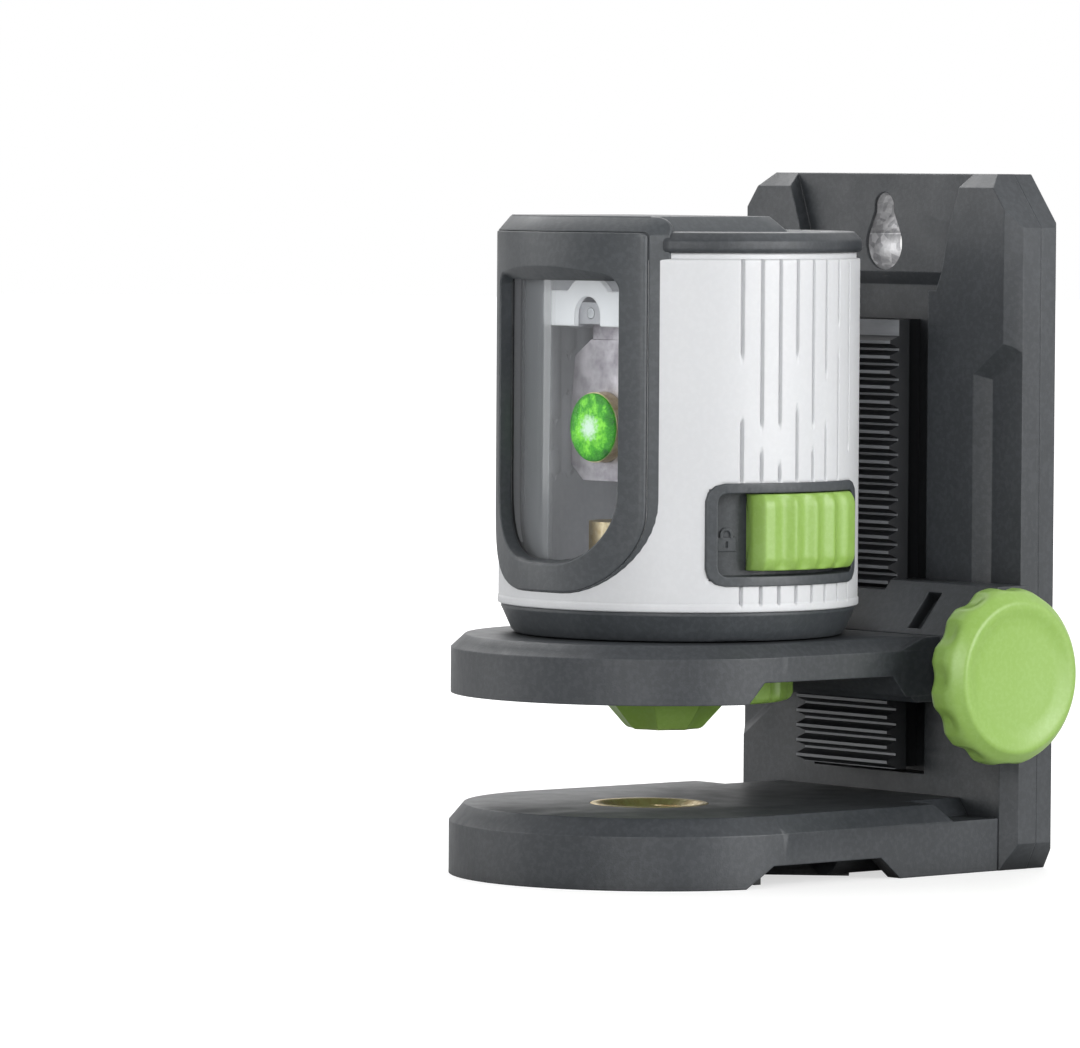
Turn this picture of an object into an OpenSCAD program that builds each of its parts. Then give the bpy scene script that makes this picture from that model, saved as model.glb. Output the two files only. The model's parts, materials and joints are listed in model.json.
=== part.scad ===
// Cross-line laser level clamped to a height-adjustable bracket.
// Millimetres. The origin is on the axis of the tripod thread, at the underside of the base.
// +Z is up, -Y is the front (the laser window), +X is the side with the height knob.

/* [Base] */
// Radius of the base's round front
base_r = 37.2; // [34:0.1:42]
// Half width of the base at the wall plate
base_back_half = 35.8; // [32:0.1:36]
// Height of the base
base_h = 13; // [11:0.1:16]
// Height of the ledge at the base's rear corners
base_ledge_h = 9.8; // [8:0.1:10.5]
// Width of the bevel round the base's top
base_bevel = 2.7; // [1:0.1:4]
// Half width of the raised strip between the rear ledges
base_strip_half = 25; // [18:0.5:30]
// Distance of the rear ledges from the wall plate
base_ledge_l = 11.7; // [6:0.1:16]
// Wall of the hollow base
base_wall = 3.4; // [2.5:0.1:4.5]
// Height of the cut-out under each side of the base
foot_gap_h = 3; // [2:0.1:4]
// Diameter of the brass flange
insert_flange_d = 22; // [20:0.1:26]
// Major diameter of the 5/8 inch tripod thread
tripod_thread_d = 15.94; // [15.94:0.01:16.1]

/* [Wall plate] */
// Distance from the tripod thread to the front face of the wall plate
plate_y = 55.2; // [54:0.1:60]
// Height of the wall plate
plate_h = 130; // [128:0.5:150]
// Half width of the wall plate
plate_half = 38.6; // [38:0.1:44]
// Bevel round the front of the wall plate
plate_bevel = 2.6; // [1.5:0.1:3]
// Thickness of the front shell
front_shell_t = 7.1; // [6.5:0.1:9]
// Thickness of the rear shell
rear_shell_t = 4.6; // [4.4:0.1:7]
// Wall of the two shells
shell_wall = 2; // [1.6:0.1:2.4]
// Width of the cut at the top corners
corner_w = 7.6; // [3:0.1:10]
// Height of the cut at the top corners
corner_h = 10; // [4:0.1:14]
// Half width of the pillars' outer edge at the waist
waist_half = 28; // [24:0.1:32]
// Bottom of the waist
waist_bottom = 27; // [22:0.5:40]
// Top of the waist
waist_top = 92.6; // [80:0.1:98]
// Half width of the channel between the pillars
channel_half = 15.4; // [15.2:0.1:18]
// Height of the bottom edge of the keyhole panel
panel_bottom = 111.4; // [109:0.1:112]
// Depth of the keyhole panel behind the pillars
panel_depth = 2.8; // [1:0.1:3.5]
// Distance from the plate's top edge down to the middle of the keyhole's round head
keyhole_drop = 13.3; // [12.4:0.1:13.8]
// Radius of the keyhole's round head
keyhole_r = 5; // [4:0.1:5.2]
// Half width of the keyhole's slot
keyhole_slot_half = 2.7; // [2:0.1:3]
// Length of the keyhole's slot above the head's centre
keyhole_slot_l = 9.7; // [7:0.1:10]

/* [Rack and pinion] */
// Module of the rack and the pinion
gear_module = 0.9; // [0.9:0.01:0.95]
// Number of pinion teeth
pinion_teeth = 10; // [10:1:11]
// Rack teeth below the pinion at rest
teeth_below = 7; // [6:1:7]
// Rack teeth above the pinion at rest
teeth_above = 22; // [20:1:23]
// Toothless land at the top of the rail
rail_land = 2.8; // [1:0.1:4]
// Half width of the rail's head
rail_half = 12.8; // [12:0.1:13]
// Thickness of the rail's head behind the teeth
rail_head_t = 2.7; // [2.4:0.1:3]
// Half width of the rail's web
rail_web_half = 8.5; // [6:0.1:9]
// How far the rack's teeth stand in front of the wall plate
rack_proud = 7.2; // [7:0.1:8]
// Radius of the pinion shaft
shaft_r = 2.5; // [2:0.1:2.8]

/* [Carriage] */
// Height of the platform's underside at rest
platform_z = 33.6; // [33:0.1:36]
// Thickness of the platform
platform_t = 10.8; // [10.5:0.1:13]
// Radius of the platform's round front
platform_r = 37; // [35:0.1:42]
// Width of the bevel round the platform's top
platform_bevel = 2.6; // [1:0.1:4]
// Half width of the housing over the shaft
tower_half = 43.8; // [42:0.1:48]
// Height of the housing above the platform
tower_h = 9.3; // [7:0.1:9.3]
// Height of the knob's axis above the platform's underside
knob_rise = 3.9; // [3.6:0.1:4.2]
// Thickness of the guide jaws
jaw_t = 1.95; // [1.5:0.05:2]
// Distance of the clamp screw behind the tripod thread
clamp_y = 3.5; // [3:0.1:4]

/* [Knobs] */
// Radius of the height knob
knob_r = 16.3; // [14:0.1:18]
// Thickness of the height knob
knob_t = 7.8; // [6.5:0.1:10]
// Radius of the height knob's dished face
dish_r = 12; // [8:0.1:12.5]
// Number of finger hollows round the height knob
knob_lobes = 12; // [8:1:14]
// Radius of the clamp knob's wheel
clamp_wheel_r = 24; // [20:0.1:24.5]
// Radius of the clamp screw
clamp_screw_r = 3.175; // [2.9:0.005:3.175]

/* [Laser housing] */
// Distance of the housing's centre behind the tripod thread
laser_y = 6.7; // [6:0.1:7]
// Radius of the white housing
laser_r = 33.4; // [33:0.1:33.6]
// Wall of the white housing
laser_wall = 2.2; // [1.8:0.1:2.4]
// Height of the dark foot
foot_h = 5.35; // [5:0.05:7]
// Height of the white housing and its neck
housing_h = 65.4; // [65:0.1:70]
// Height of the dark cap
cap_h = 3.9; // [3.5:0.1:5]
// Thickness of the strip over the cap
strip_t = 2.7; // [2:0.1:3.5]
// Radius of the window frame
frame_r = 34; // [33.9:0.05:34.3]
// Half width of the window frame
frame_half = 21.4; // [20:0.1:22]
// Half width of the window's opening
opening_half = 16.2; // [13:0.1:17]
// Height of the window frame's lower edge above the foot
frame_rise = 3.3; // [2.5:0.1:4]
// Height of the frame left between the window and the housing's top
lintel_h = 5.2; // [4.6:0.1:8]
// Thickness of the glass
glass_t = 1.4; // [1:0.1:1.8]
// Half angle of the switch's surround
surround_half_angle = 33; // [32.5:0.5:34]
// Height of the switch's surround
surround_h = 18.8; // [18:0.1:20]
// Height of the switch's button
button_h = 14; // [12:0.1:14.4]
// Half angle of the switch's button
button_half_angle = 24; // [20:0.5:24]
// Travel of the switch's button
button_travel = 8; // [6:0.5:8]

/* [Pendulum] */
// Distance of the gimbal in front of the tripod thread
gimbal_y = 4; // [3.5:0.1:4.5]
// Height of the gimbal above the foot
gimbal_rise = 54; // [53.5:0.1:54.5]
// Radius of the gimbal pins
pin_r = 1; // [0.8:0.05:1.1]
// Radius of the laser barrel
barrel_r = 6.5; // [5:0.1:7]
// Height of the laser barrel above the foot
barrel_rise = 33; // [31:0.1:34]
// Radius of the battery cells
cell_r = 7.25; // [7:0.05:7.25]
// Length of the battery cells
cell_l = 50.5; // [49:0.1:50.5]

/* [Hidden] */
$fn = 72;
eps = 0.01;

// Clearances
fit = 0.05; // running fit between a shaft and its hole, on the radius
seat = 0.1; // gap between pieces that sit in each other
gap = 0.3; // gap between faces that move past each other

// Colours
anthracite = [0.20, 0.21, 0.23];
green = [0.55, 0.78, 0.28];
white = [0.90, 0.90, 0.91];
steel = [0.70, 0.71, 0.73];
brass = [0.80, 0.68, 0.42];
black = [0.08, 0.08, 0.09];

// Wall plate levels, from front to back
ledge_y = plate_y + plate_bevel;
seam_y = plate_y + front_shell_t;
back_y = seam_y + rear_shell_t;
panel_y = plate_y + panel_depth;
channel_y = seam_y - 2.7;
rib_half = channel_half + shell_wall + 0.6;
keyhole_z = plate_h - keyhole_drop;
plate_boss_r = 4.9;
waist_run = 5.8; // height of the waist's sloped ends
plate_screw_x = plate_half - 7.1;
plate_screw_z = [base_h + 3, plate_h - corner_h - 8];
base_screw_x = base_strip_half + 1;
base_screw_z = base_ledge_h / 2;

// Rack and pinion
pitch = PI * gear_module;
pitch_r = gear_module * pinion_teeth / 2;
rack_tip_y = plate_y - rack_proud;
shaft_y = rack_tip_y + gear_module - pitch_r;
shaft_z = platform_z + knob_rise;
rack_root_y = rack_tip_y + 2.3;
rail_back_y = rack_root_y + rail_head_t;
rail_bottom = shaft_z - teeth_below * pitch;
rack_top = shaft_z + teeth_above * pitch;
rail_top = rack_top + rail_land;
channel_bottom = rail_bottom - 0.9;
channel_top = panel_bottom - 3.4;
rail_screw_z = [for (i = [0 : 2]) rail_bottom + 12 + i * 30];
backlash = 0.24; // play at the pitch line
rack_tip_half = pitch / 4 - gear_module * tan(20) - backlash / 4;
rack_foot_half = pitch / 4 + (rack_root_y - rack_tip_y - gear_module) * tan(20) - backlash / 4;

// Carriage
platform_top = platform_z + platform_t;
side_gap_z = platform_z + 3.9; // underside of the arm between the skirt and the rear block
arm_bottom = shaft_z - 5.1;
tower_front_y = shaft_y - 4.9;
tower_top = platform_top + tower_h;
tower_step = 1.8; // the middle of the housing is lower by this
tower_step_half = channel_half - 1;
tower_back_y = plate_y - gap;
mesh_half = rail_half + 0.35; // half width of the opening round the rack
arm_back_y = rack_tip_y - gap;
jaw_flange_y = tower_back_y - 2.5;
jaw_outer = mesh_half + jaw_t;
jaw_back_y = rail_back_y + gap + 2.75;
jaw_flange_x = channel_half + 8.6;
pinion_half = 10;
bush_x = 15;
bush_l = 6;
bush_r = shaft_r + 1.5;
clip_x = bush_x + bush_l + 0.3;
clip_t = 0.8;
shaft_left = clip_x + clip_t + 1.2;
plug_t = 3;
arm_half = platform_r - 0.6;
jaw_bottom = arm_bottom;
jaw_top = tower_top;
jaw_screw_z = [shaft_z - 2.2, platform_top + 4];
jaw_screw_x = jaw_flange_x - 3.2;
housing_screw_x = tower_half - 6;
housing_screw_y = tower_back_y - 3.4;

// Height knob
knob_x = tower_half + 1.4;
ring_r = shaft_r + 4.4;
ring_t = 1.8;
hub_r = shaft_r + 3;

// Clamp knob
clamp_wheel_z = platform_z - 1.2;
clamp_wheel_t = 6;
clamp_pocket_r = clamp_wheel_r + 1.2;
clamp_pocket_z = clamp_wheel_z + clamp_wheel_t + gap + 0.2;
clamp_grip_h = 5.7;
clamp_grip_top_r = 11.5;
clamp_grip_tip_r = 6.8;
clip_pocket_d = 1.5;
clip_pocket_r = 7;

// Laser levels
laser_z = platform_top + 0.25;
foot_top = laser_z + foot_h;
foot_r = laser_r - 0.4;
foot_floor = 3;
foot_wall = 2.4;
neck_top = foot_top + housing_h;
neck_z = neck_top - 1.1;
neck_r = laser_r - 0.7;
cap_top = neck_top + cap_h;
cap_r = laser_r + 0.8;
strip_top = cap_top + strip_t;
strip_back_y = 15;
inner_r = laser_r - laser_wall;
frame_in_r = inner_r + 0.3;
glass_r = frame_in_r - 0.5;
frame_z = foot_top + frame_rise;
frame_corner = 15;
opening_z = frame_z + 5.7;
opening_top = neck_top - lintel_h;
opening_corner = 13;
glass_margin = 1.8;
laser_insert_r = 5;
laser_insert_top = laser_z + 9;
laser_boss_r = laser_insert_r + 2.4;
foot_screw_r = inner_r - 6.4;
foot_screw_angles = [45, 129, 231, 315]; // from the front
foot_screw_points = [
  for (a = foot_screw_angles) [foot_screw_r * sin(a), laser_y - foot_screw_r * cos(a)]
];
deck_angles = [0, 180];
deck_screw_r = 22;
cap_angles = [38, 142, 212, 328]; // from +X
cap_screw_r = inner_r - 2.6;
// Vertical grooves in the white housing: angle from +X, low end, high end
groove_runs = [
  [-21, 47, 64], [-14.2, 35, 64], [-14.2, 24, 29], [-7.6, 35, 64], [-7.6, 24, 29.5],
  [-0.8, 47, 64], [-0.8, 24, 27], [6.2, 35, 64], [6.2, 24, 37], [12.7, 44, 64], [12.7, 24, 30],
  [20, 53, 64], [20, 24, 34], [28, 24, 64]
];

// Switch
switch_angle = 0.75; // direction of the switch's middle, from +X towards +Y
surround_z = frame_z + 1.5;
surround_top = surround_z + surround_h;
surround_r = laser_r + 0.45;
surround_wall = 1.8;
surround_floor_r = inner_r - 1.5;
surround_floor_t = 1.3;
button_z = surround_z + (surround_h - button_h) / 2 + 0.4;
button_in_r = surround_floor_r + gap;
button_r = laser_r + 1.9;
button_angle = 5; // direction of the button's middle at rest, from +X towards +Y
rib_count = 7;
stem_half_angle = 5;
stem_z = button_z + 5;
stem_h = 4;
stem_in_r = 25.6;
lever_z = stem_z + stem_h;
lever_t = 2;

// Battery bay
door_half = 19;
door_z = foot_top + 5;
door_h = 52;
door_gap = 0.25;
cell_x = cell_r + 0.5;
cell_y = laser_y + 19;
cell_z = foot_top + 5.8;
tray_y = cell_y - cell_r - 1.8;
tray_t = 1.4;
tray_half = 15.2;
tray_end_t = 2;
spring_h = 2;
contact_t = 0.4;

// Gimbal and pendulum
gimbal_z = foot_top + gimbal_rise;
gimbal_r = 11;
gimbal_in_r = 8.6;
gimbal_h = 4;
hub_half = 4;
hub_l = 7;
lug_x = 12.2;
lug_t = 3.4;
barrel_z = foot_top + barrel_rise;
barrel_front = gimbal_y + 10;
barrel_back = 10 - gimbal_y;
lens_t = 1.5;
neck_pin_r = 2.5;
weight_r = 8.5;
weight_z = foot_top + 8;
weight_h = 7.5;
neck_pin_top = barrel_z - 10;
magnet_r = 4;
magnet_h = 2.5;
magnet_z = weight_z - 1.6 - magnet_h;
lever_tip_x = neck_pin_r + 2.9;

// Chassis
bridge_z = gimbal_z + gimbal_h / 2 + 1.6;
bridge_t = 2.6;
apron_y = 17.6; // front of the arched apron, in front of the thread
apron_t = 1.5;
apron_half = 14.5;
apron_h = 8.6;
post_x = 17.5;
post_w = 4;
post_y = laser_y + 3.3;
post_d = 3;
board_t = 1.6;
board_y = post_y + post_d + 0.4;
deck_z = foot_top + 1;
deck_t = 2;

// ---------- shared shapes ----------

// Extrude a YZ outline along X
module prism_x(x0, x1) {
  translate([x0, 0, 0]) rotate([90, 0, 90]) linear_extrude(x1 - x0) children();
}

// Extrude an XZ outline along Y
module prism_y(y0, y1) {
  translate([0, y1, 0]) rotate([90, 0, 0]) linear_extrude(y1 - y0) children();
}

// Box from its low corner to its high corner
module box(x0, x1, y0, y1, z0, z1) {
  translate([x0, y0, z0]) cube([x1 - x0, y1 - y0, z1 - z0]);
}

// Round bar along X
module rod_x(r, x0, x1, y, z) {
  translate([x0, y, z]) rotate([0, 90, 0]) cylinder(r=r, h=x1 - x0);
}

// Round bar along Y
module rod_y(r, y0, y1, x, z) {
  translate([x, y1, z]) rotate([90, 0, 0]) cylinder(r=r, h=y1 - y0);
}

// Round bar along Z
module rod_z(r, z0, z1, x=0, y=0) {
  translate([x, y, z0]) cylinder(r=r, h=z1 - z0);
}

// Ring round Z
module tube(r_out, r_in, z0, z1) {
  difference() {
    rod_z(r_out, z0, z1);
    rod_z(r_in, z0 - 1, z1 + 1);
  }
}

// Part of a ring round Z, from angle a0 to a1 as seen from above, counted from +X
module sector(r_in, r_out, z0, z1, a0, a1) {
  rotate([0, 0, a0]) translate([0, 0, z0]) rotate_extrude(angle=a1 - a0)
    translate([r_in, 0]) square([r_out - r_in, z1 - z0]);
}

// Both the piece and its mirror image across X = 0
module both_sides() {
  children();
  mirror([1, 0, 0]) children();
}

// Screw along -Z from the origin: a round head above, a shank below, a square recess in the head
module screw(r, l, head_r, head_h) {
  difference() {
    union() {
      rod_z(head_r, 0, head_h);
      rod_z(r, -l, eps);
    }
    rotate([0, 0, 45]) box(-r * 0.6, r * 0.6, -r * 0.6, r * 0.6, head_h * 0.4, head_h + 1);
  }
}

// A screw driven towards -Y from a seat at y
module screw_from_back(x, y, z, r, l, head_r, head_h) {
  translate([x, y, z]) rotate([-90, 0, 0]) screw(r, l, head_r, head_h);
}

// Outline of a plate with a straight back and a round front, as one flat shape
module u_outline(r, back_half, back_y) {
  circle(r=r);
  polygon([[-r, 0], [r, 0], [back_half, back_y], [-back_half, back_y]]);
}

// The same shape drawn in by a bevel, from z0 up to z1
module u_bevel(r, back_half, y1, inset, z0, z1) {
  translate([0, 0, z0]) cylinder(r1=r, r2=r - inset, h=z1 - z0);
  hull() {
    linear_extrude_thin(z0) polygon([[-r, 0], [r, 0], [back_half, y1], [-back_half, y1]]);
    linear_extrude_thin(z1 - eps)
      polygon([
        [inset - r, 0], [r - inset, 0], [back_half - inset, y1 - inset], [inset - back_half, y1 - inset]
      ]);
  }
}

// A very thin slab at height z
module linear_extrude_thin(z) {
  translate([0, 0, z]) linear_extrude(eps) children();
}

// Points of a rectangle with round lower corners; w is the half width
function cup_points(w, z0, z1, r) = concat(
  [[w, z1], [-w, z1]],
  [for (a = [180 : 15 : 270]) [-w + r + r * cos(a), z0 + r + r * sin(a)]],
  [for (a = [270 : 15 : 360]) [w - r + r * cos(a), z0 + r + r * sin(a)]]
);

// Points of a rectangle with all corners round; w is the half width
function round_points(w, z0, z1, r) = [
  for (q = [0 : 3], a = [0 : 30 : 90])
    [
      (q == 0 || q == 3 ? w - r : r - w) + r * cos(a + 90 * q),
      (q < 2 ? z1 - r : z0 + r) + r * sin(a + 90 * q)
    ]
];

// ---------- wall plate ----------

// Front view of the wall plate with its corners cut
module plate_outline() {
  foot_cut = 2.6;
  polygon([
    [foot_cut - plate_half, 0], [plate_half - foot_cut, 0], [plate_half, 5],
    [plate_half, plate_h - corner_h], [plate_half - corner_w, plate_h],
    [corner_w - plate_half, plate_h], [-plate_half, plate_h - corner_h], [-plate_half, 5]
  ]);
}

module keyhole_outline(grow=0) {
  shoulder = keyhole_r * 0.92;
  translate([0, keyhole_z]) circle(r=keyhole_r + grow);
  translate([0, keyhole_z + keyhole_slot_l - keyhole_slot_half]) circle(r=keyhole_slot_half + grow);
  polygon([
    [shoulder + grow, keyhole_z + 2], [keyhole_slot_half + grow, keyhole_z + 6],
    [keyhole_slot_half + grow, keyhole_z + keyhole_slot_l - keyhole_slot_half],
    [-keyhole_slot_half - grow, keyhole_z + keyhole_slot_l - keyhole_slot_half],
    [-keyhole_slot_half - grow, keyhole_z + 6], [-shoulder - grow, keyhole_z + 2]
  ]);
}

// Volume taken off beside each pillar at the waist
module waist_cut() {
  far = plate_half + 4;
  slope = waist_run / (plate_half - plate_bevel - waist_half);
  rise = slope * (far - waist_half);
  hull() {
    prism_y(plate_y - 1, plate_y)
      polygon([
        [waist_half, waist_bottom], [far, waist_bottom - rise],
        [far, waist_top + rise], [waist_half, waist_top]
      ]);
    prism_y(ledge_y - eps, ledge_y)
      polygon([
        [waist_half + plate_bevel, waist_bottom + 1], [far, waist_bottom - rise + 3.8],
        [far, waist_top + rise - 3.8], [waist_half + plate_bevel, waist_top - 1]
      ]);
  }
}

// The keyhole panel's recess and the channel below it
module channel_cut() {
  prism_y(plate_y - 1, panel_y)
    polygon([
      [-channel_half - 3.6, panel_bottom], [channel_half + 3.6, panel_bottom],
      [channel_half + 5.6, plate_h - 10], [channel_half + 9.5, plate_h + 1],
      [-channel_half - 9.5, plate_h + 1], [-channel_half - 5.6, plate_h - 10]
    ]);
  hull() {
    prism_y(plate_y - 1, panel_y)
      polygon([
        [-channel_half - 3.6, panel_bottom + eps], [channel_half + 3.6, panel_bottom + eps],
        [channel_half + 2.1, channel_top], [-channel_half - 2.1, channel_top]
      ]);
    prism_y(panel_y, channel_y)
      polygon([
        [-channel_half, panel_bottom - 2.4], [channel_half, panel_bottom - 2.4],
        [channel_half, channel_top], [-channel_half, channel_top]
      ]);
  }
  box(-channel_half, channel_half, plate_y - 1, channel_y, channel_bottom, channel_top + eps);
}

module plate_blank(y0, y1) {
  intersection() {
    prism_y(y0, y1) plate_outline();
    prism_x(-plate_half, plate_half)
      polygon([
        [plate_y, 0], [back_y, 0], [back_y, plate_h], [plate_y + 3, plate_h],
        [plate_y, plate_h - plate_bevel]
      ]);
    linear_extrude(plate_h)
      polygon([
        [plate_bevel - plate_half, plate_y], [plate_half - plate_bevel, plate_y], [plate_half, ledge_y],
        [plate_half, back_y - 0.8], [plate_half - 0.8, back_y], [0.8 - plate_half, back_y],
        [-plate_half, back_y - 0.8], [-plate_half, ledge_y]
      ]);
  }
}

// Hollow between the shells, clear of the screw bosses
module plate_hollow(y0, y1, x_in) {
  both_sides() difference() {
    box(x_in, plate_half - 2.5, y0, y1, 3, plate_h - corner_h);
    for (z = plate_screw_z) rod_y(plate_boss_r, y0 - 1, y1 + 1, plate_screw_x, z);
    rod_y(plate_boss_r, y0 - 1, y1 + 1, base_screw_x, base_screw_z);
  }
}

module plate_screw_holes(r) {
  both_sides() {
    for (z = plate_screw_z) rod_y(r, plate_y + 1.6, back_y + 1, plate_screw_x, z);
    rod_y(r, plate_y - 1, back_y + 1, base_screw_x, base_screw_z);
  }
}

module plate_front_shell() {
  color(anthracite) difference() {
    plate_blank(plate_y, seam_y);
    both_sides() waist_cut();
    channel_cut();
    plate_hollow(ledge_y + shell_wall, seam_y + 1, rib_half);
    both_sides() box(rib_half, waist_half - 2.5, ledge_y, ledge_y + shell_wall + eps,
                     waist_bottom, waist_top);
    prism_y(plate_y, seam_y + 1) keyhole_outline();
    prism_y(panel_y + 0.6, seam_y + 1) keyhole_outline(1 + seat);
    plate_screw_holes(1.5 + seat);
    for (z = rail_screw_z) rod_y(1.5 + seat, channel_y - 1, seam_y + 1, 0, z);
  }
}

module plate_rear_shell() {
  pocket_y = back_y - shell_wall;
  color(anthracite) difference() {
    plate_blank(seam_y, back_y);
    plate_hollow(seam_y - 1, pocket_y, rib_half);
    box(-rib_half - eps, rib_half + eps, seam_y - 1, pocket_y, 3, channel_top);
    prism_y(seam_y - 1, back_y + 1) keyhole_outline(1 + seat);
    plate_screw_holes(1.5 + seat);
    both_sides() {
      for (z = plate_screw_z) rod_y(3.2, back_y - 2.2, back_y + 1, plate_screw_x, z);
      rod_y(3.2, back_y - 2.2, back_y + 1, base_screw_x, base_screw_z);
    }
  }
}

module keyhole_liner() {
  color(steel) prism_y(panel_y + 0.7, back_y - 0.1) difference() {
    keyhole_outline(1);
    keyhole_outline();
  }
}

module plate_screws() {
  color(steel) both_sides() for (z = plate_screw_z)
    screw_from_back(plate_screw_x, back_y - 2.2, z, 1.5, front_shell_t - 0.6, 2.9, 1.8);
}

// ---------- rail ----------

// Rack outline in YZ: one polygon with all teeth
function rack_points() = concat(
  [[rail_back_y, rail_bottom], [rail_back_y, rail_top], [rack_root_y, rail_top], [rack_root_y, rack_top]],
  [
    for (i = [teeth_above + teeth_below - 1 : -1 : 0], p = [[0, 1], [1, 1], [1, -1], [0, -1]])
      [
        p[0] == 0 ? rack_root_y : rack_tip_y,
        rail_bottom + (i + 0.5) * pitch + p[1] * (p[0] == 0 ? rack_foot_half : rack_tip_half)
      ]
  ],
  [[rack_root_y, rail_bottom]]
);

module rack_rail() {
  color(anthracite) difference() {
    union() {
      prism_x(-rail_half, rail_half) polygon(rack_points());
      box(-rail_web_half, rail_web_half, rail_back_y - eps, channel_y, rail_bottom, rail_top);
    }
    for (z = rail_screw_z) rod_y(1.5 + seat, rack_root_y + 1.2, channel_y + 1, 0, z);
  }
}

module rail_screws() {
  color(steel) for (z = rail_screw_z)
    screw_from_back(0, seam_y, z, 1.5, seam_y - rack_root_y - 1.8, 2.8, 1.7);
}

// ---------- base ----------

module base_hollow() {
  difference() {
    translate([0, 0, -1]) linear_extrude(base_ledge_h - base_wall + 1) difference() {
      u_outline(base_r - base_wall, base_back_half - base_wall, plate_y - base_wall - 1.5);
      circle(r=insert_flange_d / 2 + 3);
      for (a = [0 : 45 : 315]) rotate(a) translate([0, -0.8]) square([base_r, 1.6]);
    }
    both_sides() rod_y(4.4, 20, plate_y, base_screw_x, base_screw_z);
    both_sides() box(base_screw_x - 4.4, base_screw_x + 4.4, plate_y - 14, plate_y, -2, base_screw_z);
  }
}

module base_plate() {
  ledge_y0 = plate_y - base_ledge_l;
  color(anthracite) difference() {
    union() {
      linear_extrude(base_ledge_h) u_outline(base_r, base_back_half, plate_y);
      u_bevel(base_r, base_back_half + 0.4, ledge_y0, base_bevel, base_ledge_h - eps, base_h);
      hull() {
        linear_extrude_thin(base_ledge_h - eps) translate([-base_strip_half - 2.5, 0])
          square([2 * base_strip_half + 5, plate_y]);
        linear_extrude_thin(base_h - eps) translate([-base_strip_half, 0])
          square([2 * base_strip_half, plate_y]);
      }
    }
    base_hollow();
    both_sides() prism_x(base_r - 2 * base_wall, base_r + 5)
      polygon([[-8, -eps], [-2, foot_gap_h], [25, foot_gap_h], [30, -eps]]);
    rod_z(insert_flange_d / 2 - 1.8 + seat, -1, base_h + 1);
    rod_z(insert_flange_d / 2 + seat, base_h - 1.5 - seat, base_h + 1);
    both_sides() rod_y(1.5 + seat, plate_y - 12.5, plate_y + 1, base_screw_x, base_screw_z);
  }
}

module base_screws() {
  color(steel) both_sides()
    screw_from_back(base_screw_x, back_y - 2.2, base_screw_z, 1.5, back_y - 2.2 - plate_y + 12, 2.9, 1.8);
}

module tripod_insert() {
  r = insert_flange_d / 2;
  color(brass) difference() {
    union() {
      rod_z(r - 1.8, 0, base_h - 1);
      rod_z(r, base_h - 1.5, base_h + 0.1);
    }
    rod_z(tripod_thread_d / 2, -1, base_h + 1);
    translate([0, 0, base_h - 1]) cylinder(r1=tripod_thread_d / 2, r2=tripod_thread_d / 2 + 1.2, h=1.2);
  }
}

// ---------- carriage ----------

// Opening of the arm and the housing round the rack and the rail's head
module rail_clearance() {
  box(-mesh_half, mesh_half, arm_back_y, plate_y + 1, arm_bottom - 1, tower_top + 1);
}

// Room for the jaws' flanges
module jaw_pockets() {
  both_sides() box(mesh_half - eps, jaw_flange_x + seat, jaw_flange_y - seat, plate_y,
                   jaw_bottom - 1, tower_top + 1);
}

module shaft_holes() {
  rod_x(shaft_r + gap, -shaft_left - 1, tower_half + 1, shaft_y, shaft_z);
  both_sides() rod_x(bush_r + seat, bush_x - 1, bush_x + bush_l + seat, shaft_y, shaft_z);
  rod_x(pitch_r + gear_module + 0.7, -pinion_half - 0.5, pinion_half + 0.5, shaft_y, shaft_z);
  rod_x(bush_r + 1.6, -tower_half - 1, -bush_x - bush_l, shaft_y, shaft_z);
  rod_x(ring_r + seat, tower_half - ring_t + 0.5, tower_half + 1, shaft_y, shaft_z);
}

module carriage_arm() {
  color(anthracite) difference() {
    union() {
      translate([0, 0, platform_z]) linear_extrude(platform_t - 2.4)
        u_outline(platform_r, arm_half, tower_front_y);
      u_bevel(platform_r, arm_half, tower_front_y, platform_bevel, platform_top - 2.4 - eps, platform_top);
      prism_x(-arm_half, arm_half)
        polygon([
          [tower_front_y - 12, side_gap_z], [tower_front_y - 6, arm_bottom], [tower_back_y, arm_bottom],
          [tower_back_y, platform_top], [tower_front_y - 4, platform_top],
          [tower_front_y - 12, platform_top - 3]
        ]);
      box(-tower_half, tower_half, tower_front_y, tower_back_y, arm_bottom, platform_top);
    }
    // side openings to the clamp knob
    prism_x(-platform_r - 1, platform_r + 1)
      polygon([
        [-8.4, platform_z - 1], [-4.2, side_gap_z], [tower_front_y - 12, side_gap_z],
        [tower_front_y - 6, platform_z - 3], [tower_front_y - 6, platform_z - 4], [-8.4, platform_z - 4]
      ]);
    rod_z(clamp_pocket_r, platform_z - 1, clamp_pocket_z, 0, clamp_y);
    rod_z(clamp_screw_r + gap, platform_z, platform_top + 1, 0, clamp_y);
    rod_z(clip_pocket_r, platform_top - clip_pocket_d, platform_top + 1, 0, clamp_y);
    sector(platform_r - 8.4, platform_r - 3.2, platform_z - 1, platform_top - 3.4, 190, 350);
    rail_clearance();
    jaw_pockets();
    shaft_holes();
    both_sides() {
      rod_z(1.5 + seat, arm_bottom - 1, platform_top + 1, housing_screw_x, housing_screw_y);
      rod_z(3, arm_bottom - 1, arm_bottom + 2.4, housing_screw_x, housing_screw_y);
      rod_y(1.25 + seat, jaw_flange_y - 6.5, jaw_flange_y + 1, jaw_screw_x, jaw_screw_z[0]);
    }
  }
}

// Sloped outline of the housing in YZ
function tower_points(top) = [
  [tower_front_y, platform_top], [tower_back_y, platform_top], [tower_back_y, top],
  [tower_front_y + 1.1 * (top - platform_top) * 0.75, top]
];

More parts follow.
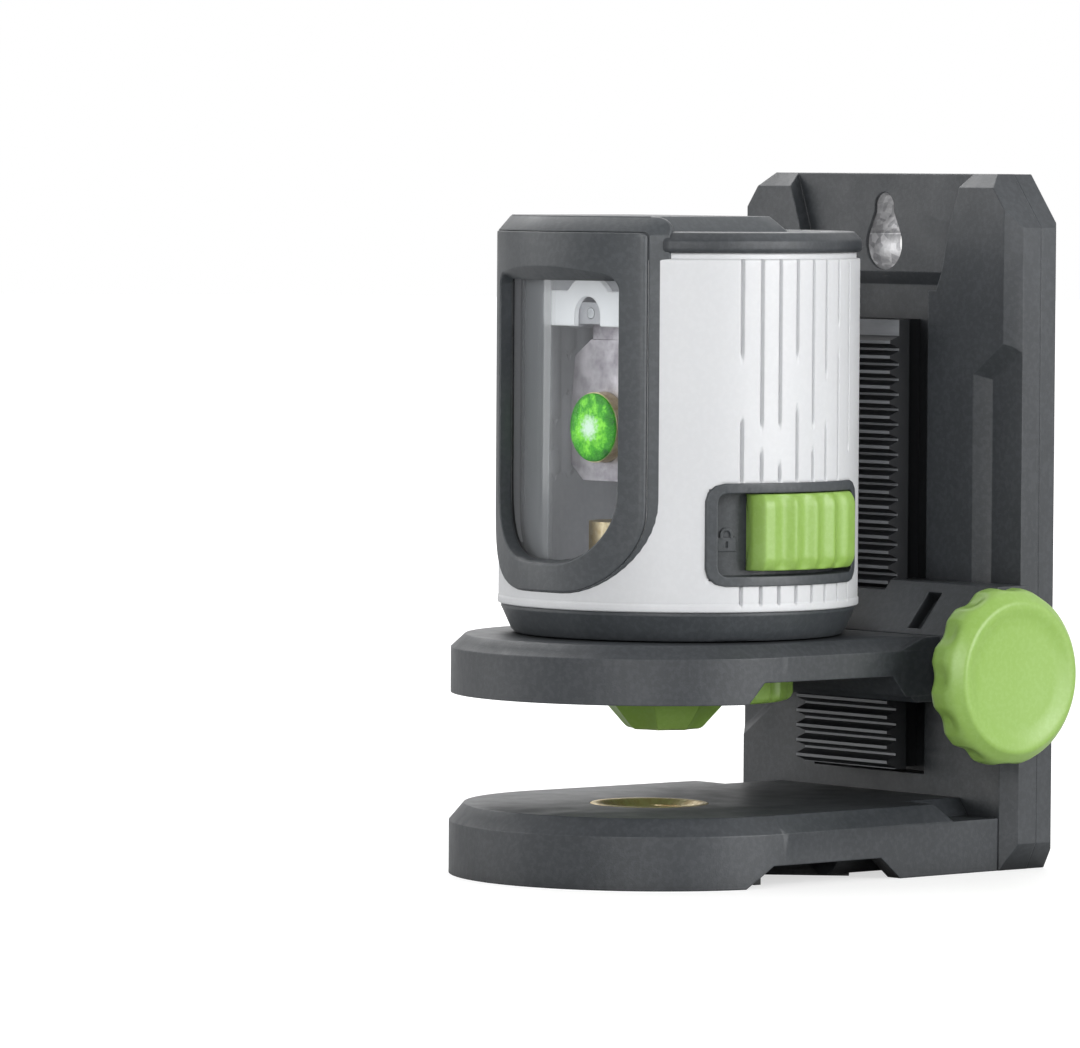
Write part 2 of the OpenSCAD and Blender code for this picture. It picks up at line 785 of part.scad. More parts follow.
module pinion_housing() {
  slit_y = tower_front_y + 3.8;
  color(anthracite) difference() {
    union() {
      prism_x(-tower_half, tower_half) polygon(tower_points(tower_top - tower_step));
      both_sides() prism_x(tower_step_half, tower_half) polygon(tower_points(tower_top));
    }
    rail_clearance();
    jaw_pockets();
    both_sides() {
      translate([channel_half + 11, slit_y, platform_top + 4.2]) rotate([48, 0, 0])
        box(0, 3.7, -4.2, 4.2, -2.2, 4);
      rod_z(1.5, platform_top - 1, platform_top + 5.4, housing_screw_x, housing_screw_y);
      rod_y(1.25 + seat, jaw_flange_y - 6.5, jaw_flange_y + 1, jaw_screw_x, jaw_screw_z[1]);
    }
  }
}

module housing_screws() {
  color(steel) both_sides() translate([housing_screw_x, housing_screw_y, arm_bottom + 2.4]) mirror([0, 0, 1])
    screw(1.5 - seat, platform_top - arm_bottom + 2.4, 2.8, 1.7);
}

module guide_jaws() {
  color(black) difference() {
    both_sides() translate([0, 0, jaw_bottom]) linear_extrude(jaw_top - jaw_bottom)
      polygon([
        [jaw_flange_x, jaw_flange_y], [mesh_half, jaw_flange_y], [mesh_half, rail_back_y + gap],
        [rail_web_half + gap + 1, rail_back_y + gap], [rail_web_half + gap + 1, jaw_back_y],
        [jaw_outer, jaw_back_y], [jaw_outer, tower_back_y], [jaw_flange_x, tower_back_y]
      ]);
    both_sides() for (z = jaw_screw_z) {
      rod_y(1.25 + seat, jaw_flange_y - 1, tower_back_y + 1, jaw_screw_x, z);
      rod_y(2.3, tower_back_y - 1.3, tower_back_y + 1, jaw_screw_x, z);
    }
  }
}

module jaw_screws() {
  color(steel) both_sides() for (z = jaw_screw_z)
    screw_from_back(jaw_screw_x, tower_back_y - 1.3, z, 1.25, 4.6, 2.15, 1.1);
}

module shaft_bushes() {
  color(brass) both_sides() difference() {
    rod_x(bush_r, bush_x, bush_x + bush_l, shaft_y, shaft_z);
    rod_x(shaft_r + fit, bush_x - 1, bush_x + bush_l + 1, shaft_y, shaft_z);
  }
}

module brake_ring() {
  x0 = tower_half - ring_t + 0.6;
  color(black) difference() {
    rod_x(ring_r, x0, x0 + ring_t, shaft_y, shaft_z);
    rod_x(shaft_r + gap + 0.6, x0 - 1, x0 + ring_t + 1, shaft_y, shaft_z);
  }
}

module shaft_plug() {
  color(anthracite) rod_x(bush_r + 1.6 - seat, -tower_half, plug_t - tower_half, shaft_y, shaft_z);
}

// ---------- height knob ----------

module height_knob() {
  reach = knob_x + knob_t;
  lobe_r = knob_r * 0.53;
  lobe_at = knob_r + lobe_r - 0.68;
  color(green) difference() {
    translate([knob_x, shaft_y, shaft_z]) rotate([0, 90, 0]) difference() {
      rotate_extrude() polygon(concat(
        [[0, 0], [knob_r - 1.2, 0]],
        [for (a = [-60 : 30 : 0]) [knob_r - 0.8 + 0.8 * cos(a), 0.9 + 0.8 * sin(a)]],
        [for (a = [0 : 15 : 75]) [knob_r - 2.6 + 2.6 * cos(a), knob_t - 2.4 + 2.4 * sin(a)]],
        [[dish_r + 0.2, knob_t], [dish_r - 1.6, knob_t - 0.9], [0, knob_t - 1.1]]
      ));
      for (i = [0 : knob_lobes - 1]) rotate([0, 0, (i + 0.97) * 360 / knob_lobes])
        translate([lobe_at, 0, -1]) cylinder(r=lobe_r, h=knob_t - 0.6);
      translate([0, 0, -1]) cylinder(r=shaft_r + seat, h=knob_t - 2.5);
      difference() {
        translate([0, 0, -1]) cylinder(r=knob_r - 3.2, h=knob_t - 2.4);
        translate([0, 0, -2]) cylinder(r=hub_r, h=knob_t);
      }
    }
  }
}

module pinion_shaft() {
  color(steel) difference() {
    rod_x(shaft_r, -shaft_left, knob_x + knob_t - 3.7, shaft_y, shaft_z);
    difference() {
      rod_x(shaft_r + 1, -clip_x - clip_t - 0.05, -clip_x + 0.05, shaft_y, shaft_z);
      rod_x(shaft_r - 0.4, -clip_x - clip_t - 1, -clip_x + 1, shaft_y, shaft_z);
    }
  }
}

// One pinion tooth as half outlines: radius, half thickness
function tooth_points(tip_r, root_r) = [
  [root_r - 0.4, -0.42 * gear_module], [pitch_r - 0.45 * gear_module, -0.62 * gear_module],
  [pitch_r, -pitch / 4 + backlash / 4], [pitch_r + 0.5 * gear_module, -0.46 * gear_module],
  [tip_r, -0.2 * gear_module], [tip_r, 0.2 * gear_module],
  [pitch_r + 0.5 * gear_module, 0.46 * gear_module], [pitch_r, pitch / 4 - backlash / 4],
  [pitch_r - 0.45 * gear_module, 0.62 * gear_module], [root_r - 0.4, 0.42 * gear_module]
];

module drive_pinion() {
  root_r = pitch_r - 1.15 * gear_module;
  color(steel) difference() {
    translate([-pinion_half, shaft_y, shaft_z]) rotate([0, 90, 0]) rotate([0, 0, 90]) union() {
      cylinder(r=root_r, h=2 * pinion_half);
      for (i = [0 : pinion_teeth - 1]) rotate([0, 0, i * 360 / pinion_teeth])
        linear_extrude(2 * pinion_half) polygon(tooth_points(pitch_r + gear_module * 0.95, root_r));
    }
    rod_x(shaft_r + 0.02, -pinion_half - 1, pinion_half + 1, shaft_y, shaft_z);
  }
}

module shaft_clip() {
  color(steel) difference() {
    rod_x(shaft_r + 1.4, -clip_x - clip_t, -clip_x, shaft_y, shaft_z);
    rod_x(shaft_r - 0.38, -clip_x - clip_t - 1, -clip_x + 1, shaft_y, shaft_z);
    box(-clip_x - clip_t - 1, -clip_x + 1, shaft_y, shaft_y + shaft_r + 2, shaft_z - 0.9, shaft_z + 0.9);
  }
}

// ---------- clamp knob ----------

module clamp_knob() {
  wheel_notches = 20;
  grip_lobes = 8;
  color(green) translate([0, clamp_y, 0]) difference() {
    union() {
      rod_z(clamp_wheel_r, clamp_wheel_z + 0.8, clamp_wheel_z + clamp_wheel_t);
      translate([0, 0, clamp_wheel_z])
        cylinder(r1=clamp_wheel_r - 0.8, r2=clamp_wheel_r, h=0.8 + eps);
      translate([0, 0, clamp_wheel_z - clamp_grip_h])
        cylinder(r1=clamp_grip_tip_r, r2=clamp_grip_top_r, h=clamp_grip_h + eps);
    }
    for (i = [0 : wheel_notches - 1]) rotate([0, 0, i * 360 / wheel_notches])
      rod_z(2.2, clamp_wheel_z - 1, clamp_wheel_z + clamp_wheel_t + 1, clamp_wheel_r + 1.5);
    for (i = [0 : grip_lobes - 1]) rotate([0, 0, (i + 0.5) * 360 / grip_lobes + 6])
      translate([clamp_grip_top_r + 3.1, 0, clamp_wheel_z]) rotate([0, -39, 0])
        translate([0, 0, -12]) cylinder(r=3.6, h=13.5);
    rod_z(clamp_screw_r + 0.02, clamp_wheel_z - 1.7, clamp_wheel_z + clamp_wheel_t + 1);
    difference() {
      rod_z(clamp_wheel_r - 3, clamp_wheel_z + 2.4, clamp_wheel_z + clamp_wheel_t + 1);
      rod_z(clamp_screw_r + 4, clamp_wheel_z, clamp_wheel_z + clamp_wheel_t);
    }
  }
}

module clamp_screw() {
  clip_z = platform_top - clip_pocket_d + 0.35;
  color(steel) translate([0, clamp_y, 0]) difference() {
    rod_z(clamp_screw_r, clamp_wheel_z - 1.6, laser_z + 7.4);
    difference() {
      rod_z(clamp_screw_r + 1, clip_z - 0.05, clip_z + 0.85);
      rod_z(clamp_screw_r - 0.4, clip_z - 1, clip_z + 2);
    }
  }
}

module clamp_clip() {
  clip_z = platform_top - clip_pocket_d + 0.35;
  color(steel) translate([0, clamp_y, 0]) difference() {
    tube(clamp_screw_r + 2, clamp_screw_r - 0.38, clip_z, clip_z + 0.8);
    box(0, clamp_screw_r + 4, -1.1, 1.1, clip_z - 1, clip_z + 2);
  }
}

// ---------- laser housing ----------

module laser_foot() {
  color(anthracite) difference() {
    union() {
      translate([0, laser_y, laser_z]) difference() {
        rotate_extrude() polygon([
          [0, 0], [foot_r - 2.6, 0], [foot_r - 2, 0.6], [foot_r - 0.1, foot_h - 0.6],
          [foot_r - 0.1, foot_h], [0, foot_h]
        ]);
        rod_z(inner_r - foot_wall - 0.2, foot_floor, foot_h + 1);
      }
      translate([0, laser_y, 0])
        tube(inner_r - seat, inner_r - foot_wall - 0.2, foot_top - eps, foot_top + 2.2);
      rod_z(laser_boss_r, laser_z, laser_insert_top, 0, clamp_y);
      for (p = foot_screw_points) rod_z(3.4, laser_z, foot_top, p[0], p[1]);
      translate([0, laser_y, 0]) for (a = deck_angles) rotate([0, 0, a])
        rod_z(3, laser_z + 1, deck_z, deck_screw_r);
      rod_z(magnet_r + 5.6, laser_z, magnet_z - 0.02, 0, -gimbal_y);
    }
    rod_z(laser_insert_r + seat, laser_z - 1, laser_insert_top + 1, 0, clamp_y);
    for (p = foot_screw_points) {
      rod_z(1.5 + seat, laser_z - 1, foot_top + 1, p[0], p[1]);
      rod_z(2.9, laser_z - 1, laser_z + 2, p[0], p[1]);
    }
    translate([0, laser_y, 0]) for (a = deck_angles) rotate([0, 0, a])
      rod_z(1.1, laser_z + 1.5, foot_top + 3, deck_screw_r);
  }
}

module foot_insert() {
  color(brass) translate([0, clamp_y, 0]) difference() {
    rod_z(laser_insert_r, laser_z + 0.2, laser_insert_top - 0.2);
    rod_z(clamp_screw_r + fit, laser_z, laser_insert_top - 1.4);
  }
}

module foot_screws() {
  color(steel) for (p = foot_screw_points) translate([p[0], p[1], laser_z + 2]) mirror([0, 0, 1])
    screw(1.5, foot_h + 3.6, 2.7, 1.6);
}

// Outline of the window frame as seen from the front
module frame_outline(grow=0) {
  polygon(cup_points(frame_half + grow, frame_z - grow, strip_top + 5, frame_corner + grow));
}

module opening_outline(grow=0) {
  polygon(cup_points(opening_half + grow, opening_z - grow, opening_top + grow, opening_corner + grow));
}

// Outline of the switch's surround as seen from the side
module surround_outline(grow=0) {
  half = surround_r * sin(surround_half_angle) + grow;
  polygon(round_points(half, surround_z - grow, surround_top + grow, 3.2));
}

// A side view outline cut towards +X through the housing's wall
module switch_side(r0, r1) {
  translate([0, laser_y, 0]) rotate([0, 0, switch_angle]) prism_x(r0, r1) children();
}

module laser_shell() {
  ring_h = 1.6;
  color(white) difference() {
    translate([0, laser_y, 0]) union() {
      tube(laser_r, inner_r, foot_top, neck_z);
      tube(neck_r, inner_r, neck_z - eps, neck_top);
      tube(laser_r + 0.15, inner_r, foot_top, foot_top + ring_h);
      for (a = foot_screw_angles) rotate([0, 0, a - 90])
        box(foot_screw_r + 2.4, inner_r + 0.5, -1.2, 1.2, foot_top + 2.5, foot_top + 9);
      for (p = foot_screw_points) difference() {
        rod_z(3.2, foot_top + 0.02, foot_top + 9, p[0], p[1] - laser_y);
        rod_z(1.5 + seat, foot_top - 1, foot_top + 6, p[0], p[1] - laser_y);
      }
      for (a = cap_angles) rotate([0, 0, a]) difference() {
        rod_z(3, neck_top - 12, neck_top, cap_screw_r);
        rod_z(1.1, neck_top - 6, neck_top + 1, cap_screw_r);
      }
    }
    prism_y(-laser_r, laser_y - frame_half) frame_outline(seat);
    switch_side(inner_r * 0.5, laser_r + 2) surround_outline(seat);
    prism_y(laser_y + 22, laser_y + laser_r + 2)
      polygon(round_points(door_half, door_z, door_z + door_h, 2));
    translate([0, laser_y, foot_top]) for (g = groove_runs, side = [0, 1]) mirror([side, 0, 0])
      rotate([0, 0, g[0]]) box(laser_r - 0.3, laser_r + 1, -0.3, 0.3, g[1], g[2]);
  }
}

module top_cap() {
  color(anthracite) difference() {
    translate([0, laser_y, neck_top]) rotate_extrude() polygon([
      [0, cap_h - 2], [inner_r, cap_h - 2], [inner_r, 0.02], [cap_r - 0.5, 0.02], [cap_r, cap_h * 0.46],
      [cap_r - 1.2, cap_h], [0, cap_h]
    ]);
    prism_y(-laser_r - 5, strip_back_y + seat)
      polygon(cup_points(frame_half + seat, frame_z, strip_top + 5, frame_corner));
    translate([0, laser_y, 0]) for (a = cap_angles) rotate([0, 0, a]) {
      rod_z(1.1 + seat, neck_top, cap_top + 1, cap_screw_r);
      rod_z(2.3, cap_top - 0.9, cap_top + 1, cap_screw_r);
    }
  }
}

module cap_screws() {
  color(steel) translate([0, laser_y, 0]) for (a = cap_angles) rotate([0, 0, a])
    translate([cap_screw_r, 0, cap_top - 0.9]) screw(1.1 - seat, 5.4, 2.1, 0.8);
}

module window_frame() {
  color(anthracite) difference() {
    union() {
      intersection() {
        translate([0, laser_y, 0]) union() {
          tube(frame_r, frame_in_r, frame_z, strip_top - 3.8);
          difference() {
            translate([0, 0, strip_top - 3.8 - eps]) cylinder(r1=frame_r, r2=frame_r - 2.8, h=3.8 + eps);
            rod_z(frame_in_r, frame_z, cap_top - 0.2);
          }
        }
        prism_y(-laser_r - 2, laser_y - frame_half + 4) frame_outline();
      }
      intersection() {
        translate([0, laser_y, 0]) rod_z(frame_r - 2.8, cap_top - 2, strip_top);
        box(-frame_half, frame_half, -laser_r, strip_back_y, cap_top - 2, strip_top);
      }
    }
    prism_y(-laser_r - 3, laser_y) opening_outline();
    translate([0, laser_y, 0]) rod_z(frame_in_r - 1.4, neck_top - 3, cap_top - 1.95);
  }
}

module window_glass() {
  color([0.8, 0.85, 0.85, 0.35]) intersection() {
    translate([0, laser_y, 0]) tube(glass_r, glass_r - glass_t, frame_z, strip_top);
    prism_y(-laser_r, laser_y - 10) opening_outline(glass_margin);
  }
}

module window_gasket() {
  color(black) intersection() {
    translate([0, laser_y, 0]) tube(frame_in_r - 0.02, glass_r + 0.02, frame_z, strip_top);
    prism_y(-laser_r, laser_y - 10) difference() {
      opening_outline(glass_margin);
      opening_outline();
    }
  }
}

// ---------- switch ----------

module switch_surround() {
  stem_room = stem_half_angle + 1.2;
  color(anthracite) difference() {
    intersection() {
      translate([0, laser_y, 0])
        tube(surround_r, surround_floor_r - surround_floor_t, surround_z, surround_top);
      switch_side(10, laser_r + 3) surround_outline();
    }
    intersection() {
      translate([0, laser_y, 0]) tube(surround_r + 1, surround_floor_r, surround_z, surround_top);
      switch_side(10, laser_r + 3)
        polygon(round_points(surround_r * sin(surround_half_angle) - surround_wall,
                             surround_z + surround_wall, surround_top - surround_wall, 1.6));
    }
    translate([0, laser_y, 0]) sector(20, laser_r, stem_z - 0.4, stem_z + stem_h + 0.4,
      button_angle - stem_room - button_travel, button_angle + stem_room);
  }
}

module switch_button() {
  color(green) translate([0, laser_y, 0]) difference() {
    sector(button_in_r, button_r, button_z, button_z + button_h,
           button_angle - button_half_angle, button_angle + button_half_angle);
    for (i = [0 : rib_count - 1]) rotate([0, 0, button_angle + (i - (rib_count - 1) / 2) * 6.4])
      rod_z(1.5, button_z - 1, button_z + button_h + 1, button_r + 0.9);
    for (end = [-1, 1]) rotate([0, 0, button_angle + end * button_half_angle])
      translate([button_r, 0, button_z - 1]) rotate([0, 0, 45 * end])
        box(-1.1, 1.1, -1.1, 1.1, 0, button_h + 2);
    translate([0, 0, button_z + button_h]) cone_trim(1);
    translate([0, 0, button_z]) cone_trim(-1);
  }
}

// Cuts a 1.2 mm bevel on the button's upper or lower outer edge
module cone_trim(side) {
  rotate_extrude() polygon([
    [button_r - 1.2, 0.01 * side], [button_r + 1, 0.01 * side], [button_r + 1, -2.2 * side]
  ]);
}

module lock_lever() {
  color(black) translate([0, laser_y, 0]) {
    rotate([0, 0, button_angle]) sector(stem_in_r, button_in_r - 0.02, stem_z, stem_z + stem_h,
      -stem_half_angle, stem_half_angle);
    translate([0, 0, lever_z]) linear_extrude(lever_t) polygon([
      [lever_tip_x, -13.2], [lever_tip_x, -8.4], [9, -7.4], [19.6, 1.2], [stem_in_r + 0.6, 4.4],
      [stem_in_r + 2, 4.4], [stem_in_r + 2, 0.6], [21, -2.6], [11, -13.2]
    ]);
  }
}

// ---------- battery bay ----------

module battery_cover() {
  half = door_half - door_gap;
  low = door_z + door_gap;
  high = door_z + door_h - door_gap;
  grip_z = high - 14;
  color(white) {
    difference() {
      intersection() {
        translate([0, laser_y, 0]) tube(laser_r, inner_r, low, high);
        prism_y(laser_y + 12, laser_y + laser_r + 1) polygon(round_points(half, low, high, 1.8));
      }
      translate([0, laser_y, 0]) for (i = [0 : 4]) rotate([0, 0, 90])
        box(laser_r - 0.5, laser_r + 1, -6, 6, grip_z + i * 2.2, grip_z + i * 2.2 + 0.9);
    }
    both_sides() for (z = [low + 1, high - 2.2])
      box(8, 12, laser_y + inner_r - 4.2, laser_y + inner_r - 1.6, z, z + 1.2);
  }
}

module battery_tray() {
  end_y = cell_y + cell_r - 2.4;
  low = cell_z - spring_h - tray_end_t;
  high = cell_z + cell_l + contact_t + 0.1;
  color(anthracite) {
    box(-tray_half, tray_half, tray_y, tray_y + tray_t, low, high + tray_end_t);
    box(-tray_half, tray_half, tray_y, end_y, low, low + tray_end_t - 0.5);
    box(-tray_half, tray_half, tray_y, end_y, high, high + tray_end_t);
    box(-0.4, 0.4, tray_y, cell_y, low, high);
  }
}

module batteries() {
  color([0.3, 0.32, 0.35]) both_sides() {
    rod_z(cell_r, cell_z + 0.02, cell_z + cell_l - 1.5, cell_x, cell_y);
    rod_z(2.7, cell_z + cell_l - 1.5 - eps, cell_z + cell_l, cell_x, cell_y);
  }
}

module battery_contacts() {
  floor_z = cell_z - spring_h - 0.5;
  color(steel) {
    both_sides() difference() {
      rod_z(4, floor_z, cell_z, cell_x, cell_y);
      rod_z(3.2, floor_z + 0.5, cell_z + 1, cell_x, cell_y);
    }
    both_sides() box(cell_x - 4, cell_x + 4, cell_y - 4, cell_y + 4,
                     cell_z + cell_l, cell_z + cell_l + contact_t);
  }
}

// ---------- chassis and pendulum ----------

module chassis() {
  bridge_back = post_y + post_d;
  color([0.62, 0.62, 0.64]) difference() {
    union() {
      translate([0, laser_y, 0]) intersection() {
        tube(26.5, 17.5, deck_z, deck_z + deck_t);
        box(-30, 30, -5.5, 6.4, deck_z - 1, deck_z + deck_t + 1);
      }
      both_sides() box(post_x, post_x + post_w, post_y, bridge_back, deck_z, bridge_z + bridge_t);
      translate([0, 0, bridge_z]) linear_extrude(bridge_t) polygon([
        [-post_x - post_w, bridge_back], [post_x + post_w, bridge_back], [post_x + post_w, 2],
        [apron_half, -apron_y], [-apron_half, -apron_y], [-post_x - post_w, 2]
      ]);
      box(-apron_half, apron_half, -apron_y, apron_t - apron_y,
          bridge_z + bridge_t - apron_h, bridge_z + eps);
      both_sides() box(lug_x, lug_x + lug_t, -gimbal_y - 3, 3 - gimbal_y, gimbal_z - 3, bridge_z + eps);
    }
    rod_x(pin_r + fit, -lug_x - lug_t - 1, lug_x + lug_t + 1, -gimbal_y, gimbal_z);
    prism_y(-apron_y - 1, apron_t - apron_y + 0.2) union() {
      translate([0, bridge_z - 0.2]) circle(r=4.2);
      polygon([[-4.2, bridge_z - 12], [4.2, bridge_z - 12], [4.2, bridge_z - 0.2], [-4.2, bridge_z - 0.2]]);
      for (x = [-11, 11]) translate([x, bridge_z - 1.2]) circle(r=1.2);
    }
    translate([0, laser_y, 0]) for (a = deck_angles) rotate([0, 0, a])
      rod_z(1.1 + seat, deck_z - 1, deck_z + deck_t + 1, deck_screw_r);
    rod_z(gimbal_in_r, bridge_z - 1, bridge_z + 5, 0, -gimbal_y);
  }
}

module chassis_screws() {
  color(steel) translate([0, laser_y, 0]) for (a = deck_angles) rotate([0, 0, a])
    translate([deck_screw_r, 0, deck_z + deck_t]) screw(1.1 - seat, 4.6, 2, 1.2);
}

module circuit_board() {
  low = barrel_z - 14;
  color([0.10, 0.35, 0.18]) {
    box(-post_x - 3.6, post_x + 3.6, board_y, board_y + board_t, low, bridge_z - 2);
    both_sides() box(post_x + 1, post_x + 3, post_y + post_d, board_y + eps, low + 6, low + 9);
    for (x = [-9, 1]) box(x, x + 7, board_y - 1.2, board_y + eps, low + 10, low + 17);
  }
}

module damping_magnets() {
  color(steel) for (x = [-1, 1])
    rod_z(magnet_r, magnet_z, magnet_z + magnet_h, x * (magnet_r + 0.6), -gimbal_y);
}

module gimbal_ring() {
  color([0.45, 0.46, 0.48]) difference() {
    translate([0, -gimbal_y, 0])
      tube(gimbal_r, gimbal_in_r, gimbal_z - gimbal_h / 2, gimbal_z + gimbal_h / 2);
    rod_x(pin_r + 0.02, -gimbal_r - 1, gimbal_r + 1, -gimbal_y, gimbal_z);
    rod_y(pin_r + fit, -gimbal_y - gimbal_r - 1, gimbal_r + 1 - gimbal_y, 0, gimbal_z);
  }
}

module gimbal_pins() {
  color(steel) both_sides() rod_x(pin_r, gimbal_in_r + 0.1, lug_x + lug_t, -gimbal_y, gimbal_z);
}

module pendulum_body() {
  top = gimbal_z + gimbal_h / 2;
  color([0.55, 0.50, 0.55]) difference() {
    union() {
      box(-hub_half, hub_half, -gimbal_y - hub_l, hub_l - gimbal_y, gimbal_z - 5, top);
      prism_y(-gimbal_y - 7.5, 7.5 - gimbal_y) polygon([
        [-hub_half, gimbal_z - 4.9], [-8.5, gimbal_z - 8], [-9.5, barrel_z + 4], [-9.5, barrel_z - 7],
        [-6, barrel_z - 10], [6, barrel_z - 10], [9.5, barrel_z - 7], [9.5, barrel_z + 4],
        [8.5, gimbal_z - 8], [hub_half, gimbal_z - 4.9]
      ]);
      rod_z(neck_pin_r, weight_z + weight_h - 4, neck_pin_top + eps, 0, -gimbal_y);
    }
    rod_y(barrel_r + 0.02, -gimbal_y - 12, 12 - gimbal_y, 0, barrel_z);
    rod_y(pin_r + 0.02, -gimbal_y - hub_l - 1, hub_l + 1 - gimbal_y, 0, gimbal_z);
  }
}

module pendulum_pins() {
  color(steel) rod_y(pin_r, -gimbal_y - gimbal_r, gimbal_r - gimbal_y, 0, gimbal_z);
}

module laser_barrel() {
  color(brass) difference() {
    rod_y(barrel_r, -barrel_front, barrel_back, 0, barrel_z);
    rod_y(barrel_r - 1.6, -barrel_front - 1, lens_t - barrel_front, 0, barrel_z);
    rod_y(barrel_r - 1.6, barrel_back - lens_t, barrel_back + 1, 0, barrel_z);
  }
}

module emitter_lens() {
  color([0.4, 0.9, 0.4, 0.5]) rod_y(barrel_r - 1.62, 0.1 - barrel_front, lens_t - barrel_front, 0, barrel_z);
}

module balance_weight() {
  color(brass) difference() {
    rod_z(weight_r, weight_z, weight_z + weight_h, 0, -gimbal_y);
    rod_z(neck_pin_r + 0.02, weight_z + weight_h - 4.02, weight_z + weight_h + 1, 0, -gimbal_y);
    both_sides() rod_x(0.92, weight_r - 5, weight_r + 1, -gimbal_y, weight_z + 3);
  }
}

module trim_screws() {
  color(steel) both_sides() rod_x(0.9, weight_r - 4.5, weight_r + 0.8, -gimbal_y, weight_z + 3);
}

plate_front_shell();
plate_rear_shell();
keyhole_liner();
plate_screws();
rack_rail();
rail_screws();
base_plate();
base_screws();
tripod_insert();
carriage_arm();
pinion_housing();
housing_screws();
guide_jaws();
jaw_screws();
shaft_bushes();
brake_ring();
shaft_plug();
height_knob();
pinion_shaft();
drive_pinion();
shaft_clip();
clamp_knob();
clamp_screw();
clamp_clip();
laser_foot();
foot_insert();
foot_screws();
laser_shell();
top_cap();
cap_screws();
window_frame();
window_glass();
window_gasket();
switch_surround();
chassis();
chassis_screws();
circuit_board();
battery_tray();
batteries();
battery_contacts();
damping_magnets();
battery_cover();
switch_button();
lock_lever();
gimbal_ring();
gimbal_pins();
pendulum_body();
pendulum_pins();
laser_barrel();
emitter_lens();
balance_weight();
trim_screws();
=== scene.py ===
"""Laser level on its height-adjustable bracket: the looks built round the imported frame."""

import json
import logging
import math
from collections.abc import Callable
from dataclasses import dataclass
from enum import Enum

import bmesh
import bpy
import numpy as np
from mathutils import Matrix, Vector

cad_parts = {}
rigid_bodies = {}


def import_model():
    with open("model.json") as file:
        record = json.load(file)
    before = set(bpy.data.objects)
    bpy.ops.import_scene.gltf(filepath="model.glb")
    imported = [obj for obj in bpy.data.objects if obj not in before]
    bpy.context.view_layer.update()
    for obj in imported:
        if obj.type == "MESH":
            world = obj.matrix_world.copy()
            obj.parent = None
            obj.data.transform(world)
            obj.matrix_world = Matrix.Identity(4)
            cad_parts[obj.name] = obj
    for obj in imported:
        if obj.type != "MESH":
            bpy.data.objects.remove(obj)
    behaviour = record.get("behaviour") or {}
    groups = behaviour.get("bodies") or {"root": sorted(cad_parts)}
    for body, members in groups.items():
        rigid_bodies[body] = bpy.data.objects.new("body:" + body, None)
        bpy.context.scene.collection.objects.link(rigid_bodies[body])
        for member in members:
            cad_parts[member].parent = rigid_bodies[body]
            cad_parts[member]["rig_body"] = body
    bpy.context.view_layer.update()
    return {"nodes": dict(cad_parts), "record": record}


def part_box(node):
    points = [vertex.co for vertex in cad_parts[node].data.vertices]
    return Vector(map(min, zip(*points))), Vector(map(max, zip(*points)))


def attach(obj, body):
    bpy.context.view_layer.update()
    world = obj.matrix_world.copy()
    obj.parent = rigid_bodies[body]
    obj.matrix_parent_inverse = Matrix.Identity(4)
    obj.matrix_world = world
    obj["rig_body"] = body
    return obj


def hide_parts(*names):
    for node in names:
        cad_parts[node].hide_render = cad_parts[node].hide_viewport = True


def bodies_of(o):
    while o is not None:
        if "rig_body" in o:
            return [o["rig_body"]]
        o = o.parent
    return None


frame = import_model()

MM = 0.001
TAU = 2 * math.pi
log = logging.getLogger("level")
Colour = tuple[float, float, float]
Socket = bpy.types.NodeSocket


class Slot(Enum):
    """Material slots of the record that pieces take their finish from."""

    ANTHRACITE = "anthracite_plastic"
    BLACK = "black_plastic"
    RUBBER = "black_rubber"
    GREEN = "green_plastic"
    WHITE = "white_plastic"
    ZINC = "galvanised_steel"
    STEEL = "steel"
    BRASS = "brass"
    CAST = "cast_metal"
    GLASS = "clear_glass"
    LENS = "green_lens"
    BOARD = "board"
    JACKET = "battery_jacket"


